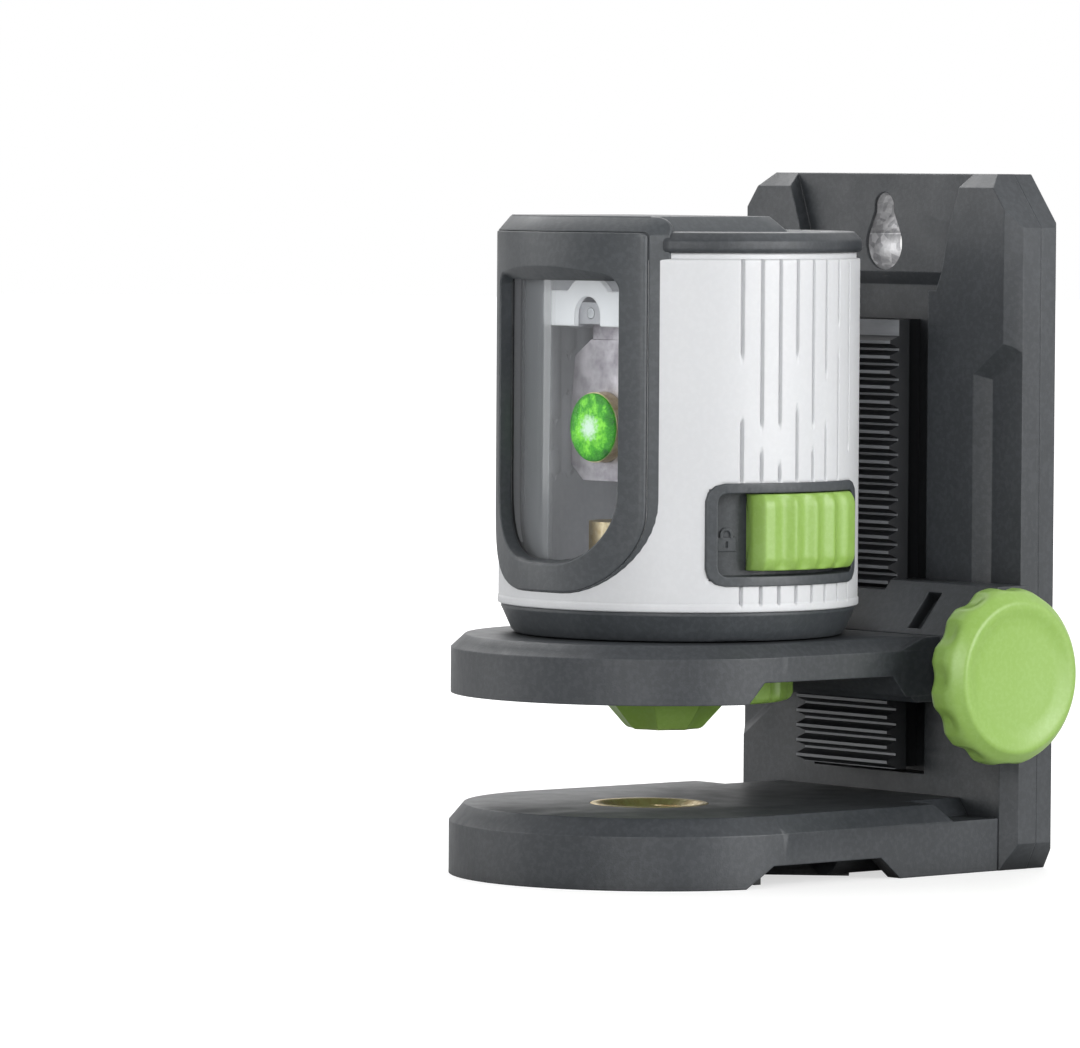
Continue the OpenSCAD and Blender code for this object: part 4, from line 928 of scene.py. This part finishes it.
def shell_of(
        rings: np.ndarray, first: np.ndarray | None = None, last: np.ndarray | None = None,
        loop: bool = False) -> tuple[np.ndarray, np.ndarray]:
    """Skins closed rings one to the next.

    Args:
        rings: Rings by points by 3.
        first: Point that closes the first ring: a ring of copies of it, whose doubles are merged later.
        last: Point that closes the last ring.
        loop: Joins the last ring to the first instead, by a copy of it whose doubles are merged later.

    Returns:
        Points and faces of four corners.
    """
    size = rings.shape[1]
    if first is not None:
        rings = np.concatenate([np.broadcast_to(first, (1, size, 3)), rings])
    if last is not None:
        rings = np.concatenate([rings, np.broadcast_to(last, (1, size, 3))])
    if loop:
        rings = np.concatenate([rings, rings[:1]])
    return rings.reshape(-1, 3), quads_of(len(rings), size).reshape(-1, 4)


def solid_piece(
        name: str, parts: list[tuple[np.ndarray, np.ndarray]], sharp: float = 40.0) -> bpy.types.Object:
    """Makes one piece of several skins, with its doubles merged and its faces turned outwards.

    Args:
        name: The piece's name.
        parts: Points in millimetres and faces of each skin.
        sharp: Edges that turn by more degrees than this stay crisp.

    Returns:
        The piece.
    """
    offset = np.cumsum([0] + [len(points) for points, _ in parts[:-1]])
    points = np.vstack([points for points, _ in parts])
    faces = np.vstack([faces + start for (_, faces), start in zip(parts, offset)])
    piece = mesh_piece(name, points, faces)
    work = bmesh.new()
    work.from_mesh(piece.data)
    bmesh.ops.remove_doubles(work, verts=work.verts, dist=1e-6)
    bmesh.ops.dissolve_degenerate(work, edges=work.edges, dist=1e-7)
    bmesh.ops.recalc_face_normals(work, faces=work.faces)
    work.to_mesh(piece.data)
    work.free()
    piece.data.shade_smooth()
    piece.data.set_sharp_from_angle(angle=math.radians(sharp))
    return piece


def carry(
        piece: bpy.types.Object, node: str, finish: object | None = None,
        stands: bool = True) -> bpy.types.Object:
    """Makes a piece ride with a CAD node's body, take its slot and finish, and stand for it.

    Args:
        piece: The piece.
        node: The CAD node.
        finish: Its finish, or None for the slot's own.
        stands: Whether the node is hidden.

    Returns:
        The piece.
    """
    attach(piece, body_of(node))
    if stands:
        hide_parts(node)
    dress(piece, finish or FINISHES[slot_of(node)])
    log.info("%s: %d faces", piece.name, len(piece.data.polygons))
    return piece


def box_mm(node: str) -> tuple[np.ndarray, np.ndarray]:
    """Lowest and highest corner of a CAD node at rest, in millimetres."""
    low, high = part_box(node)
    return np.array(low) / MM, np.array(high) / MM


def round_z(radius: float | np.ndarray, angle: np.ndarray, up: np.ndarray, centre: np.ndarray) -> np.ndarray:
    """Places points round an upright axis.

    Args:
        radius: Distance from the axis.
        angle: Angle from X.
        up: Height.
        centre: Across and along of the axis.

    Returns:
        The points, with X, Y and Z as a last dimension.
    """
    spots = (centre[0] + radius * np.cos(angle), centre[1] + radius * np.sin(angle), up)
    return np.stack(np.broadcast_arrays(*spots), -1)


# ---------- the sub-assemblies ----------


@dataclass
class HeightKnob:
    """Green knob on the pinion shaft: twelve lobes, a rounded rim and a dished face."""

    lobes: int = 12
    hollow: float = 0.95
    hollow_deg: float = 21.0
    over: float = 0.4
    first_deg: float = 29.0
    bore: float = 2.6
    columns: int = 432

    def build(self) -> bpy.types.Object:
        """Builds the knob.

        The outline of radius and distance from the tower spins round the shaft. Between the lobes the
        radius loses hollow times the eased cosine of the angle from the hollow's middle, and that loss
        fades towards the front rim.

        Returns:
            The piece.
        """
        low, high = box_mm("height_knob")
        middle = (low + high) / 2
        rim, thick = (high[2] - low[2]) / 2 + self.over, high[0] - low[0]
        outline = fine(filleted([
            (0, 4.2, 0), (self.bore, 4.2, 0), (self.bore, 0.2, 0.2), (5.4, 0.2, 0.3), (5.4, 4.6, 0.4),
            (rim - 3.0, 4.6, 0.6), (rim - 3.0, 0.5, 0.4), (rim - 1.0, 0.0, 0.7), (rim, 1.3, 1.2),
            (rim, thick - 2.6, 3.0), (rim - 2.6, thick, 2.4), (12.8, thick - 0.05, 2.0),
            (10.4, thick - 0.75, 3.2), (5.0, thick - 0.95, 2.6), (0, thick - 1.0, 0)], 8), 0.5)
        radius, along, angle = turned(outline, self.columns)
        pitch = 360.0 / self.lobes
        away = np.abs((np.degrees(angle) - self.first_deg + pitch / 2) % pitch - pitch / 2)
        dip = (0.5 + 0.5 * np.cos(math.pi * np.minimum(away / (self.hollow_deg / 2), 1.0))) ** 0.6
        skirt = smooth((radius - (rim - 2.2)) / 1.6) * (1.0 - smooth((along - (thick - 4.4)) / 2.6))
        radius -= self.hollow * dip * skirt
        rings = np.stack([
            low[0] + along, middle[1] + radius * np.cos(angle), middle[2] + radius * np.sin(angle)], 2)
        return carry(solid_piece("height_knob_grip", [shell_of(rings)], 60.0), "height_knob")


@dataclass
class ClampKnob:
    """Green wheel under the platform with a notched edge and an eight-sided hollowed grip below."""

    notches: int = 20
    lobes: int = 8
    step: float = 5.7
    bore: float = 3.2
    notch_half_deg: float = 4.3
    notch_depth: float = 0.75
    first_deg: float = 40.0
    columns: int = 480

    def build(self) -> bpy.types.Object:
        """Builds the wheel and its grip as one spun outline.

        The wheel's radius loses a rounded notch at each of its notches. The grip is a cone whose radius
        between its corners falls to the chord of that many sides, and a little below it.

        Returns:
            The piece.
        """
        low, high = box_mm("clamp_knob")
        middle = (low + high) / 2
        wheel = (high[0] - low[0]) / 2
        step, bore = self.step, self.bore
        outline = fine(filleted([
            (0, 0.4, 0), (5.4, 0.0, 0.8), (7.0, 0.1, 0.8), (11.9, step - 0.2, 0.6), (14.0, step, 1.2),
            (wheel - 0.9, step, 0.9), (wheel, step + 1.0, 0.8), (wheel, 11.3, 0.4), (wheel - 0.4, 11.7, 0.3),
            (wheel - 3.0, 11.7, 0.2), (wheel - 3.0, step + 2.4, 0.4), (7.2, step + 2.4, 0.4),
            (7.2, 11.7, 0.3),
            (bore, 11.7, 0.2), (bore, 4.2, 0), (0, 4.2, 0)], 5), 0.5)
        radius, up, angle = turned(outline, self.columns)
        pitch = 360.0 / self.notches
        away = np.abs((np.degrees(angle) + pitch / 2) % pitch - pitch / 2)
        notch = np.maximum(0.0, 1.0 - (away / self.notch_half_deg) ** 2) * self.notch_depth
        radius -= notch * smooth((radius - (wheel - 1.6)) / 0.8)
        side = 360.0 / self.lobes
        turn = (np.degrees(angle) - self.first_deg + side / 2) % side - side / 2
        chord = np.cos(math.radians(side / 2)) / np.cos(np.radians(side / 2 - np.abs(turn)))
        grip = smooth((13.6 - radius) / 2.0) * smooth((step + 0.6 - up) / 0.8) * smooth((radius - 3.0) / 3.0)
        radius *= 1.0 - grip * (1.0 - chord) * 1.7
        rings = round_z(radius, angle, low[2] + up, middle)
        return carry(solid_piece("clamp_knob_wheel", [shell_of(rings)], 24.0), "clamp_knob")


@dataclass
class TripodInsert:
    """Brass bush with a tripod thread, a flanged mouth and a lead-in."""

    pitch: float = 1.27
    crest: float = 7.95
    thread: float = 0.72
    columns: int = 144

    def build(self) -> bpy.types.Object:
        """Builds the bush: inside, the radius follows a triangle wave of the height less the turn's share.

        Returns:
            The piece.
        """
        low, high = box_mm("tripod_insert")
        middle = (low + high) / 2
        flange, tall = (high[0] - low[0]) / 2, high[2] - low[2]
        crest = self.crest
        rim = filleted([
            (crest + 0.7, 0.0, 0), (flange - 1.9, 0.0, 0.3), (flange - 1.85, tall - 1.55, 0.1),
            (flange, tall - 1.5, 0.2), (flange, tall, 0.35), (crest + 1.9, tall, 0.3),
            (crest + 0.9, tall - 1.0, 0.3)], 4)
        bore = np.stack([np.full(90, crest), np.linspace(tall - 1.15, 0.12, 90)], 1)
        outline = np.vstack([rim, bore, rim[:1]])
        radius, up, angle = turned(outline, self.columns)
        wave = (up / self.pitch - angle / TAU) % 1.0
        inside = np.zeros((len(outline), 1))
        inside[len(rim):-1] = 1.0
        radius += inside * self.thread * np.abs(2.0 * wave - 1.0)
        rings = round_z(radius, angle, low[2] + up, middle)
        return carry(solid_piece("tripod_insert_bush", [shell_of(rings)], 30.0), "tripod_insert")


@dataclass
class BasePlate:
    """Lower arm: the solid's own form, with the gaps under its sides cut a little higher."""

    inner: float = 30.0
    gap: float = 3.0
    higher: float = 1.35
    front: float = -8.1
    back: float = 26.0

    def build(self) -> bpy.types.Object:
        """Builds the arm from its node: heights of the gaps' corners are multiplied by higher.

        Returns:
            The piece.
        """
        def raise_gaps(spots: np.ndarray) -> None:
            """Multiplies the heights of the gaps' corners."""
            x, y, z = spots.T
            corner = (np.abs(x) > self.inner) & (y > self.front) & (y < self.back)
            corner &= (z > 0.01) & (z < self.gap + 0.05)
            z *= np.where(corner, self.higher, 1.0)

        piece = rounded_copy("base_plate", EDGES["base_plate"])
        reshaped(piece, raise_gaps)
        return piece


@dataclass
class LaserHousing:
    """White barrel with its broken fine grooves, the dark window frame and the cap.

    A groove is an angle in degrees from X, seen from above, and its lowest and highest point over the
    barrel's foot. Each has its like on the other side of the front.
    """

    wall: float = 2.2
    rim: float = 0.15
    cap_in: float = 0.4
    cap_wall: float = 1.2
    groove_half_deg: float = 0.56
    groove_depth: float = 0.75
    groove_end: float = 0.7
    door_gap: float = 0.25
    switch_corner: float = 3.0
    under_surround: float = 0.45
    grooves: tuple[tuple[float, float, float], ...] = (
        (-21, 47, 64), (-21, 24, 34.4), (-14.2, 34.4, 64), (-14.2, 24, 28.6), (-7.6, 34.4, 64),
        (-7.6, 24, 26.2),
        (-0.8, 47, 64), (-0.8, 24, 36.5), (6.2, 34.4, 64), (6.2, 24, 29), (12.7, 43.8, 64), (12.7, 24, 33.4),
        (20, 52.7, 64), (20, 24, 46.5), (28, 30, 64))
    lower_grooves: tuple[float, ...] = (-21, -14.2, -7.6, -0.8, 6.2, 12.7, 20, 28)
    lower_groove_span: tuple[float, float] = (1.9, 4.9)

    def __post_init__(self) -> None:
        """Takes the barrel's axis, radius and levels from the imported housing."""
        low, high = box_mm("laser_shell")
        self.axis = (low + high)[:2] / 2
        self.radius = (high[0] - low[0]) / 2 - self.rim
        self.foot, self.top = low[2], high[2]
        low, high = box_mm("battery_cover")
        self.door_low, self.door_high = low[2] - self.door_gap, high[2] + self.door_gap
        self.door_half = high[0] + self.door_gap

    def groove(self, angle: np.ndarray, up: np.ndarray) -> np.ndarray:
        """Works out the grooves' depth, where each is a slot with rounded ends round its own angle.

        Args:
            angle: Degrees from X, seen from above.
            up: Height over the foot.

        Returns:
            The depth's share, 0 to 1.
        """
        deep = np.zeros_like(up)
        runs = [*self.grooves, *((at, *self.lower_groove_span) for at in self.lower_grooves)]
        for at, start, end in runs:
            for way in (at, 180.0 - at):
                off = np.abs((angle - way + 180.0) % 360.0 - 180.0) / self.groove_half_deg
                beyond = np.maximum(np.maximum(start - up, up - end), 0.0) / self.groove_end
                deep = np.maximum(deep, np.clip(1.15 - np.hypot(off, beyond), 0.0, 0.9) / 0.9)
        return deep

    def profile(self) -> np.ndarray:
        """Gives the barrel's outline: a foot rim, the straight wall and the neck under the cap.

        Returns:
            Radius and height, sorted upwards, n by 2.
        """
        tall, radius = self.top - self.foot, self.radius
        outline = fine(filleted([
            (radius - 0.45, 0.0, 0), (radius + self.rim, 0.12, 0.25), (radius + self.rim, 1.35, 0.2),
            (radius - 0.05, 1.6, 0.2), (radius, 1.75, 0.1), (radius, tall - 1.1, 0.35),
            (radius - 0.7, tall - 1.1, 0.1), (radius - 0.7, tall, 0)], 3), 0.8)
        stops = np.array([self.door_low - self.foot, self.door_high - self.foot])
        outline = np.vstack([outline, np.stack([np.full(2, radius), stops], 1)])
        return outline[np.lexsort((-outline[:, 0] * (outline[:, 1] > tall - 2), outline[:, 1]))]

    def columns(self) -> np.ndarray:
        """Gives the grid's angles: 1.5 degrees apart, closer across each groove and at the door's sides."""
        runs = np.array(sorted({way for at in self.lower_grooves for way in (at, 180.0 - at)}))
        across = np.linspace(-1.5, 1.5, 11) * self.groove_half_deg
        door = math.degrees(math.asin(self.door_half / (self.radius - self.wall / 2)))
        near = (runs[:, None] + across).ravel()
        stops = np.concatenate([np.arange(-180.0, 180.0, 1.5), near, [90 - door, 90 + door]])
        return np.unique(np.round((stops + 180.0) % 360.0 - 180.0, 3))

    def openings(self, cell: np.ndarray) -> np.ndarray:
        """Finds the cells that lie under the window frame, the switch's surround or the battery door.

        Args:
            cell: Middles of the cells, with X, Y and Z last.

        Returns:
            True where a cell is left out.
        """
        x, y, z = cell[..., 0], cell[..., 1], cell[..., 2]
        low, high = box_mm("window_glass")
        window = (np.abs(x) < high[0] + 0.6) & (z > low[2] - 0.3) & (y < self.axis[1] - 8)
        corner = np.hypot(np.maximum(np.abs(x) - 3.0, 0.0), np.maximum(low[2] + 13.0 - z, 0.0))
        window &= corner < 15.5
        low, high = box_mm("switch_surround")
        middle, half = (low + high) / 2, (high - low) / 2
        beside = np.maximum(np.abs(y - middle[1]) - half[1] + self.switch_corner, 0.0)
        above = np.maximum(np.abs(z - middle[2]) - half[2] + self.switch_corner, 0.0)
        switch = (np.hypot(beside, above) < self.switch_corner - self.under_surround) & (x > 20)
        door = (np.abs(x) < self.door_half) & (y > self.axis[1] + 16)
        door = door & (z > self.door_low) & (z < self.door_high)
        return window | switch | door

    def barrel(self) -> bpy.types.Object:
        """Builds the white barrel as a fine grid of angle and height, without the cells at its openings.

        Returns:
            The piece.
        """
        profile, angle = self.profile(), self.columns()
        radius = np.repeat(profile[:, :1], len(angle), 1)
        up = np.repeat(profile[:, 1:], len(angle), 1)
        wide = np.broadcast_to(angle, up.shape)
        radius = radius - self.groove_depth * self.groove(wide, up) * (radius > self.radius - 0.3)
        points = round_z(radius, np.radians(wide), self.foot + up, self.axis)
        after = np.roll(points, -1, 1)
        cell = (points[:-1] + after[:-1] + after[1:] + points[1:]) / 4
        quads = quads_of(*up.shape)[~self.openings(cell)]
        piece = mesh_piece("white_barrel", points.reshape(-1, 3), quads)
        wall = piece.modifiers.new("wall", "SOLIDIFY")
        wall.thickness = self.wall * MM
        wall.offset = -1.0
        # The wall's inside takes the inner plastic instead of the white: its own tone and painted glow paint
        # the light inside the barrel.
        wall.material_offset = 1
        piece.data.set_sharp_from_angle(angle=math.radians(50))
        carry(piece, "laser_shell")
        piece.data.materials.append(Wardrobe.give(INNER))
        return piece

    def frame(self) -> bpy.types.Object:
        """Builds the window frame of outlines laid on the barrel and skinned.

        They run from the glass out over the front face, a fine seam and the sloped flank, and back inside.

        Returns:
            The piece.
        """
        low, high = box_mm("window_frame")
        glass_low, glass_high = box_mm("window_glass")
        y, front, half = self.axis[1], self.axis[1] - low[1], high[0]
        open_half, open_low, open_top = glass_high[0] - 1.75, glass_low[2] + 1.8, glass_high[2] - 1.8
        crown = high[2] - 3.0
        rows = [
            (open_half, open_low, open_top, 13.0, 1.4, 0.0, 31.5),
            (open_half, open_low, open_top, 13.0, 1.4, 0.0, 32.0),
            (open_half + 0.5, open_low - 0.6, open_top + 0.7, 13.3, 2.5, 1.6, front - 0.25),
            (open_half + 0.75, open_low - 0.85, open_top + 0.95, 13.5, 2.8, 1.6, front - 0.02),
            (open_half + 1.0, open_low - 1.1, open_top + 1.2, 13.7, 3.0, 1.6, front),
            (half - 1.2, low[2] + 0.6, crown - 0.4, 14.6, 1.0, 0.0, front),
            (half - 0.62, low[2] + 0.12, crown - 0.1, 15.0, 0.8, 0.0, front),
            (half - 0.42, low[2] + 0.02, crown, 15.1, 0.8, 0.0, front - 0.14),
            (half - 0.38, low[2] + 0.06, crown + 0.02, 15.1, 0.8, 0.0, front - 0.62),
            (half - 0.14, low[2] - 0.04, crown + 0.05, 15.2, 0.8, 0.0, front - 0.62),
        ]
        rings = [on_barrel(cup_loop(*row[:6]), row[6], y) for row in rows]
        outer = cup_loop(half + 2.3, low[2] - 0.4, high[2] - 0.3, 18.4, 3.6)
        inner = cup_loop(half - 0.1, low[2] - 0.02, crown + 0.2, 15.3, 0.8)
        lift = smooth((inner[:, 1] - crown + 0.6) / 0.8)
        top = outer.copy()
        top[:, 1] += 0.3 * lift
        rings += [
            on_barrel(inner, front - 0.3, y), on_barrel(outer, front - 0.75 - 1.7 * lift, y),
            on_barrel(top * (0.985, 1), front - 2.0 - 1.0 * lift, y),
            on_barrel(cup_loop(open_half + 2.5, open_low - 3.0, open_top + 4, 14.0, 1.4), 31.5, y)]
        piece = solid_piece("window_frame_bezel", [shell_of(np.array(rings), loop=True)], 30.0)
        return carry(piece, "window_frame", HOUSING)

    def strip(self) -> bpy.types.Object:
        """Builds the bridge from the frame back over the cap: a plan with a round front, skinned upwards.

        Returns:
            The piece.
        """
        low, high = box_mm("window_frame")
        y, front = self.axis[1], self.axis[1] - low[1]
        back, half, top = high[1], high[0], high[2]
        rings = []
        for level, side, nose in (
                (top - 4.4, half + 1.2, front - 2.2), (top - 3.1, half + 1.2, front - 2.2),
                (top - 2.8, half + 0.95, front - 2.25), (top - 0.45, half - 1.3, front - 2.45),
                (top, half - 1.8, front - 2.75), (top, half - 2.3, front - 3.2)):
            across = np.linspace(-side, side, 61)
            nose_y = y - np.sqrt(nose ** 2 - across ** 2)
            inset = (half + 1.2 - side) * 0.8
            right = np.stack([np.full(9, side), np.linspace(nose_y[-1], back - inset - 1.5, 10)[1:]], 1)
            end = np.stack([np.linspace(side - 1.5, -side + 1.5, 20), np.full(20, back - inset)], 1)
            plan = np.vstack([np.stack([across, nose_y], 1), right, end, right[::-1] * (-1, 1)])
            rings.append(np.column_stack([plan, np.full(len(plan), level)]))
        rings = np.array(rings)
        piece = solid_piece("top_bridge", [shell_of(rings, rings[0].mean(0), rings[-1].mean(0))], 30.0)
        return carry(piece, "window_frame", HOUSING, stands=False)

    def cap(self) -> bpy.types.Object:
        """Builds the cap: a spun outline from the neck to the flat top, open in front where the frame stands.

        Returns:
            The piece.
        """
        low, high = box_mm("top_cap")
        radius, tall = (high[0] - low[0]) / 2 - self.cap_in, high[2] - low[2]
        outline = fine(filleted([
            (radius - 3.2, 1.2, 0), (radius - 3.2, 0.0, 0.2), (radius - 0.6, 0.0, 0.2), (radius, 0.6, 0.3),
            (radius, tall - 1.7, 0.4), (radius - 1.5, tall - 0.1, 0.4), (radius - 2.6, tall, 0.6),
            (radius - 2.9, tall - 0.25, 0.15), (radius - 3.6, tall - 0.25, 0.15),
            (0, tall - 0.1, 0)], 5), 1.5)
        start = math.acos((box_mm("window_frame")[1][0] + 1.5) / radius)
        angle = np.linspace(-start, math.pi + start, 181)
        end = smooth(np.minimum(angle + start, math.pi + start - angle) / 0.035)
        reach = outline[:, :1] * np.ones_like(angle)
        reach = reach - (1 - end) * 0.9 * smooth((reach - (radius - 4)) / 3)
        piece = grid_piece("top_cap_lid", round_z(reach, angle, low[2] + outline[:, 1:], self.axis))
        wall = piece.modifiers.new("wall", "SOLIDIFY")
        wall.thickness = self.cap_wall * MM
        wall.offset = -1.0
        piece.data.set_sharp_from_angle(angle=math.radians(40))
        return carry(piece, "top_cap", ANTHRACITE)


@dataclass
class Works:
    """What shows behind the window: the chassis, the arched bracket before it and the glowing lens."""

    back: float = 2.9
    front_depth: float = 1.8
    half: float = 12.9
    arch: float = 3.74
    arch_z: float = 103.5
    leg: float = 1.9
    hump: float = 7.4
    shoulder: float = 108.1
    plate: float = 1.1
    round: float = 0.2
    corner: float = 0.6
    lens: float = 7.3

    def outline(self) -> np.ndarray:
        """Gives the arched bracket's outline: up one leg, over the hump, down again and back under the arch.

        Returns:
            Across and up, n by 2.
        """
        half, foot, corner = self.half, self.arch_z - self.leg, self.corner
        start = math.asin((self.shoulder - self.arch_z) / self.hump)
        over = np.linspace(math.pi - start, start, 41)
        under = np.linspace(0.0, math.pi, 31)
        crown = np.stack([self.hump * np.cos(over), self.arch_z + self.hump * np.sin(over)], 1)
        hollow = np.stack([self.arch * np.cos(under), self.arch_z + self.arch * np.sin(under)], 1)
        left = np.array([
            (-half, foot + corner), (-half, self.shoulder - corner), (-half + corner, self.shoulder)])
        right = np.vstack([left[::-1] * (-1, 1), [(half - corner, foot), (self.arch, foot)]])
        return np.vstack([left, crown, right, hollow, [(-self.arch, foot), (-half + corner, foot)]])

    def bracket(self) -> bpy.types.Object:
        """Builds the arched bracket: its outline, drawn in a little at the front, between two flat faces.

        Returns:
            The piece.
        """
        front = box_mm("chassis")[0][1] + self.back - self.plate - 0.05
        outline = self.outline()
        away = outline - (0.0, self.arch_z + 3.0)
        drawn_in = outline - away / np.linalg.norm(away, axis=1)[:, None] * self.round
        rings = np.stack([
            np.column_stack([flat[:, 0], np.full(len(flat), front + depth), flat[:, 1]])
            for flat, depth in ((drawn_in, 0.0), (outline, 0.22), (outline, self.plate))])
        points, quads = shell_of(rings)
        count = len(outline)
        first, last = np.arange(count), np.arange(count) + 2 * count
        data = bpy.data.meshes.new("arch_bracket")
        data.from_pydata(points * MM, [], [*quads.tolist(), first.tolist(), last[::-1].tolist()])
        work = bmesh.new()
        work.from_mesh(data)
        bmesh.ops.recalc_face_normals(work, faces=work.faces)
        work.to_mesh(data)
        work.free()
        data.shade_smooth()
        data.set_sharp_from_angle(angle=math.radians(30))
        piece = bpy.data.objects.new("arch_bracket", data)
        bpy.context.scene.collection.objects.link(piece)
        return carry(piece, "chassis", BRACKET, stands=False)

    def chassis(self) -> bpy.types.Object:
        """Builds the chassis from its node, with the apron's front moved back to meet the arched bracket.

        Returns:
            The piece.
        """
        front = box_mm("chassis")[0][1] + self.front_depth

        def move_back(spots: np.ndarray) -> None:
            """Adds back to the places of the points before front."""
            spots[:, 1] += np.where(spots[:, 1] < front, self.back, 0.0)

        piece = rounded_copy("chassis", 0.0)
        reshaped(piece, move_back)
        return piece

    def glow(self) -> bpy.types.Object:
        """Builds the lens's glowing dome: a spun outline, 1.3 mm high in the middle, before the barrel's end.

        Returns:
            The piece.
        """
        low, high = box_mm("laser_barrel")
        middle = (low + high) / 2
        reach = min(self.lens, (high[0] - low[0]) / 2 - 0.2)
        corners = [(0, 0, 0), (reach, 0, 0.1), (reach, 0.5, 0.25), (reach * 0.6, 1.1, 2.0), (0, 1.3, 0)]
        outline = fine(filleted(corners, 8), 0.4)
        radius, along, angle = turned(outline, 96)
        rings = np.stack([
            middle[0] + radius * np.cos(angle), low[1] - 0.05 - along, middle[2] + radius * np.sin(angle)], 2)
        piece = solid_piece("lens_dome", [shell_of(rings)], 35.0)
        return carry(piece, "emitter_lens", stands=False)


@dataclass
class LockSwitch:
    """Ribbed sliding button in its recessed surround."""

    ribs: int = 4
    pitch_deg: float = 8.2
    groove: float = 0.8
    middle_deg: float = 6.0
    first_deg: float = 1.0
    half_deg: float = 23.0
    end_deg: float = 3.0
    end_drop: float = 2.2
    deep: float = 5.0

    def button(self, housing: LaserHousing) -> bpy.types.Object:
        """Builds the button: a grid of height and angle whose radius carries the flutes, with rounded ends.

        Args:
            housing: The laser's housing, for its axis.

        Returns:
            The piece.
        """
        low, high = box_mm("switch_button")
        outer, tall = high[0] - housing.axis[0], high[2] - low[2]
        inner = outer - self.deep
        angle = np.linspace(-self.half_deg, self.half_deg, 241)
        off = np.abs(angle + self.first_deg) / self.pitch_deg
        flutes = 0.5 + 0.5 * np.cos(TAU * off)
        section = fine(filleted([
            (inner, 0.0, 0), (outer - 1.0, 0.0, 0.5), (outer, 1.6, 1.0), (outer, tall - 1.6, 1.0),
            (outer - 1.0, tall, 0.5), (inner, tall, 0)], 5), 0.4)
        depth = self.groove * smooth((section[:, 0] - (outer - 1.3)) / 1.2)
        past = (np.abs(angle) - self.half_deg + self.end_deg) / self.end_deg
        ends = self.end_drop * np.clip(past, 0, 1) ** 1.3
        reach = section[:, :1] - depth[:, None] * (1 - flutes) ** 0.8 * (off < self.ribs / 2)
        reach = reach - smooth((section[:, :1] - inner) / 2.0) * ends
        turn = np.radians(angle + self.middle_deg)
        rings = round_z(reach, turn, low[2] + section[:, 1:], housing.axis).transpose(1, 0, 2)
        piece = solid_piece("switch_slider", [shell_of(rings, rings[0].mean(0), rings[-1].mean(0))], 42.0)
        return carry(piece, "switch_button")


@dataclass
class Padlock:
    """Raised sign of a closed padlock on the surround's floor: a plain body under a bow."""

    middle_deg: float = -24.0
    half: float = 1.8
    tall: float = 2.6
    bow: float = 1.25
    rise: float = 0.42
    band: float = 0.55
    slot: float = 0.22
    drop: float = 0.6

    def bow_line(self, radius: float) -> np.ndarray:
        """Half circle of radius on two short legs, across and up."""
        turn = np.linspace(0.0, math.pi, 25)
        over = np.stack([radius * np.cos(turn), 0.5 + radius * np.sin(turn)], 1)
        return np.vstack([[(radius, -0.2)], over, [(-radius, -0.2)]])

    def box_line(self, half: float, low: float, high: float) -> np.ndarray:
        """Corners of an upright rectangle, across and up."""
        return np.array([(-half, low), (half, low), (half, high), (-half, high)])

    def build(self, housing: LaserHousing) -> bpy.types.Object:
        """Builds the sign: flat outlines of distance and height, bent round the floor and given a thickness.

        Args:
            housing: The laser's housing, for its axis.

        Returns:
            The piece.
        """
        low, high = box_mm("switch_surround")
        floor = housing.radius - housing.wall - 1.5
        top, under = floor + self.rise, floor - 0.1
        middle = (low[2] + high[2]) / 2 - self.drop
        body = self.box_line(self.half, -self.tall, 0.0)
        keyhole = self.box_line(self.slot, -self.tall * 0.72, -self.tall * 0.3)
        bow, bow_in = self.bow_line(self.bow), self.bow_line(self.bow - self.band)
        start = math.radians(self.middle_deg)
        parts = []
        for outside, inside, closed in ((bow, bow_in, False), (body, keyhole, True)):
            levels = (
                (outside, under), (outside, top - 0.08), (outside, top), (inside, top), (inside, under))
            rings = np.array([
                round_z(radius, start + line[:, 0] / floor, middle + line[:, 1], housing.axis)
                for line, radius in levels])
            if closed:
                parts.append(shell_of(rings, loop=True))
            else:
                strip = rings.transpose(1, 0, 2)
                parts.append(shell_of(strip, strip[0].mean(0), strip[-1].mean(0)))
        return carry(solid_piece("padlock_sign", parts, 25.0), "switch_surround", HOUSING, stands=False)


def main() -> None:
    """Builds the studio, then every piece in order."""
    logging.basicConfig(level=logging.INFO, format="%(name)s %(message)s")
    studio = Studio()
    studio.camera()
    studio.floor()
    studio.lights()
    studio.sky()
    HeightKnob().build()
    ClampKnob().build()
    TripodInsert().build()
    BasePlate().build()
    housing = LaserHousing()
    housing.barrel()
    housing.frame()
    housing.strip()
    housing.cap()
    LockSwitch().button(housing)
    Padlock().build(housing)
    works = Works()
    works.chassis()
    works.bracket()
    works.glow()
    for node, thing in frame["nodes"].items():
        if not thing.hide_render:
            rounded_copy(node, EDGES.get(node, 0.0))


if __name__ == "__main__":
    main()
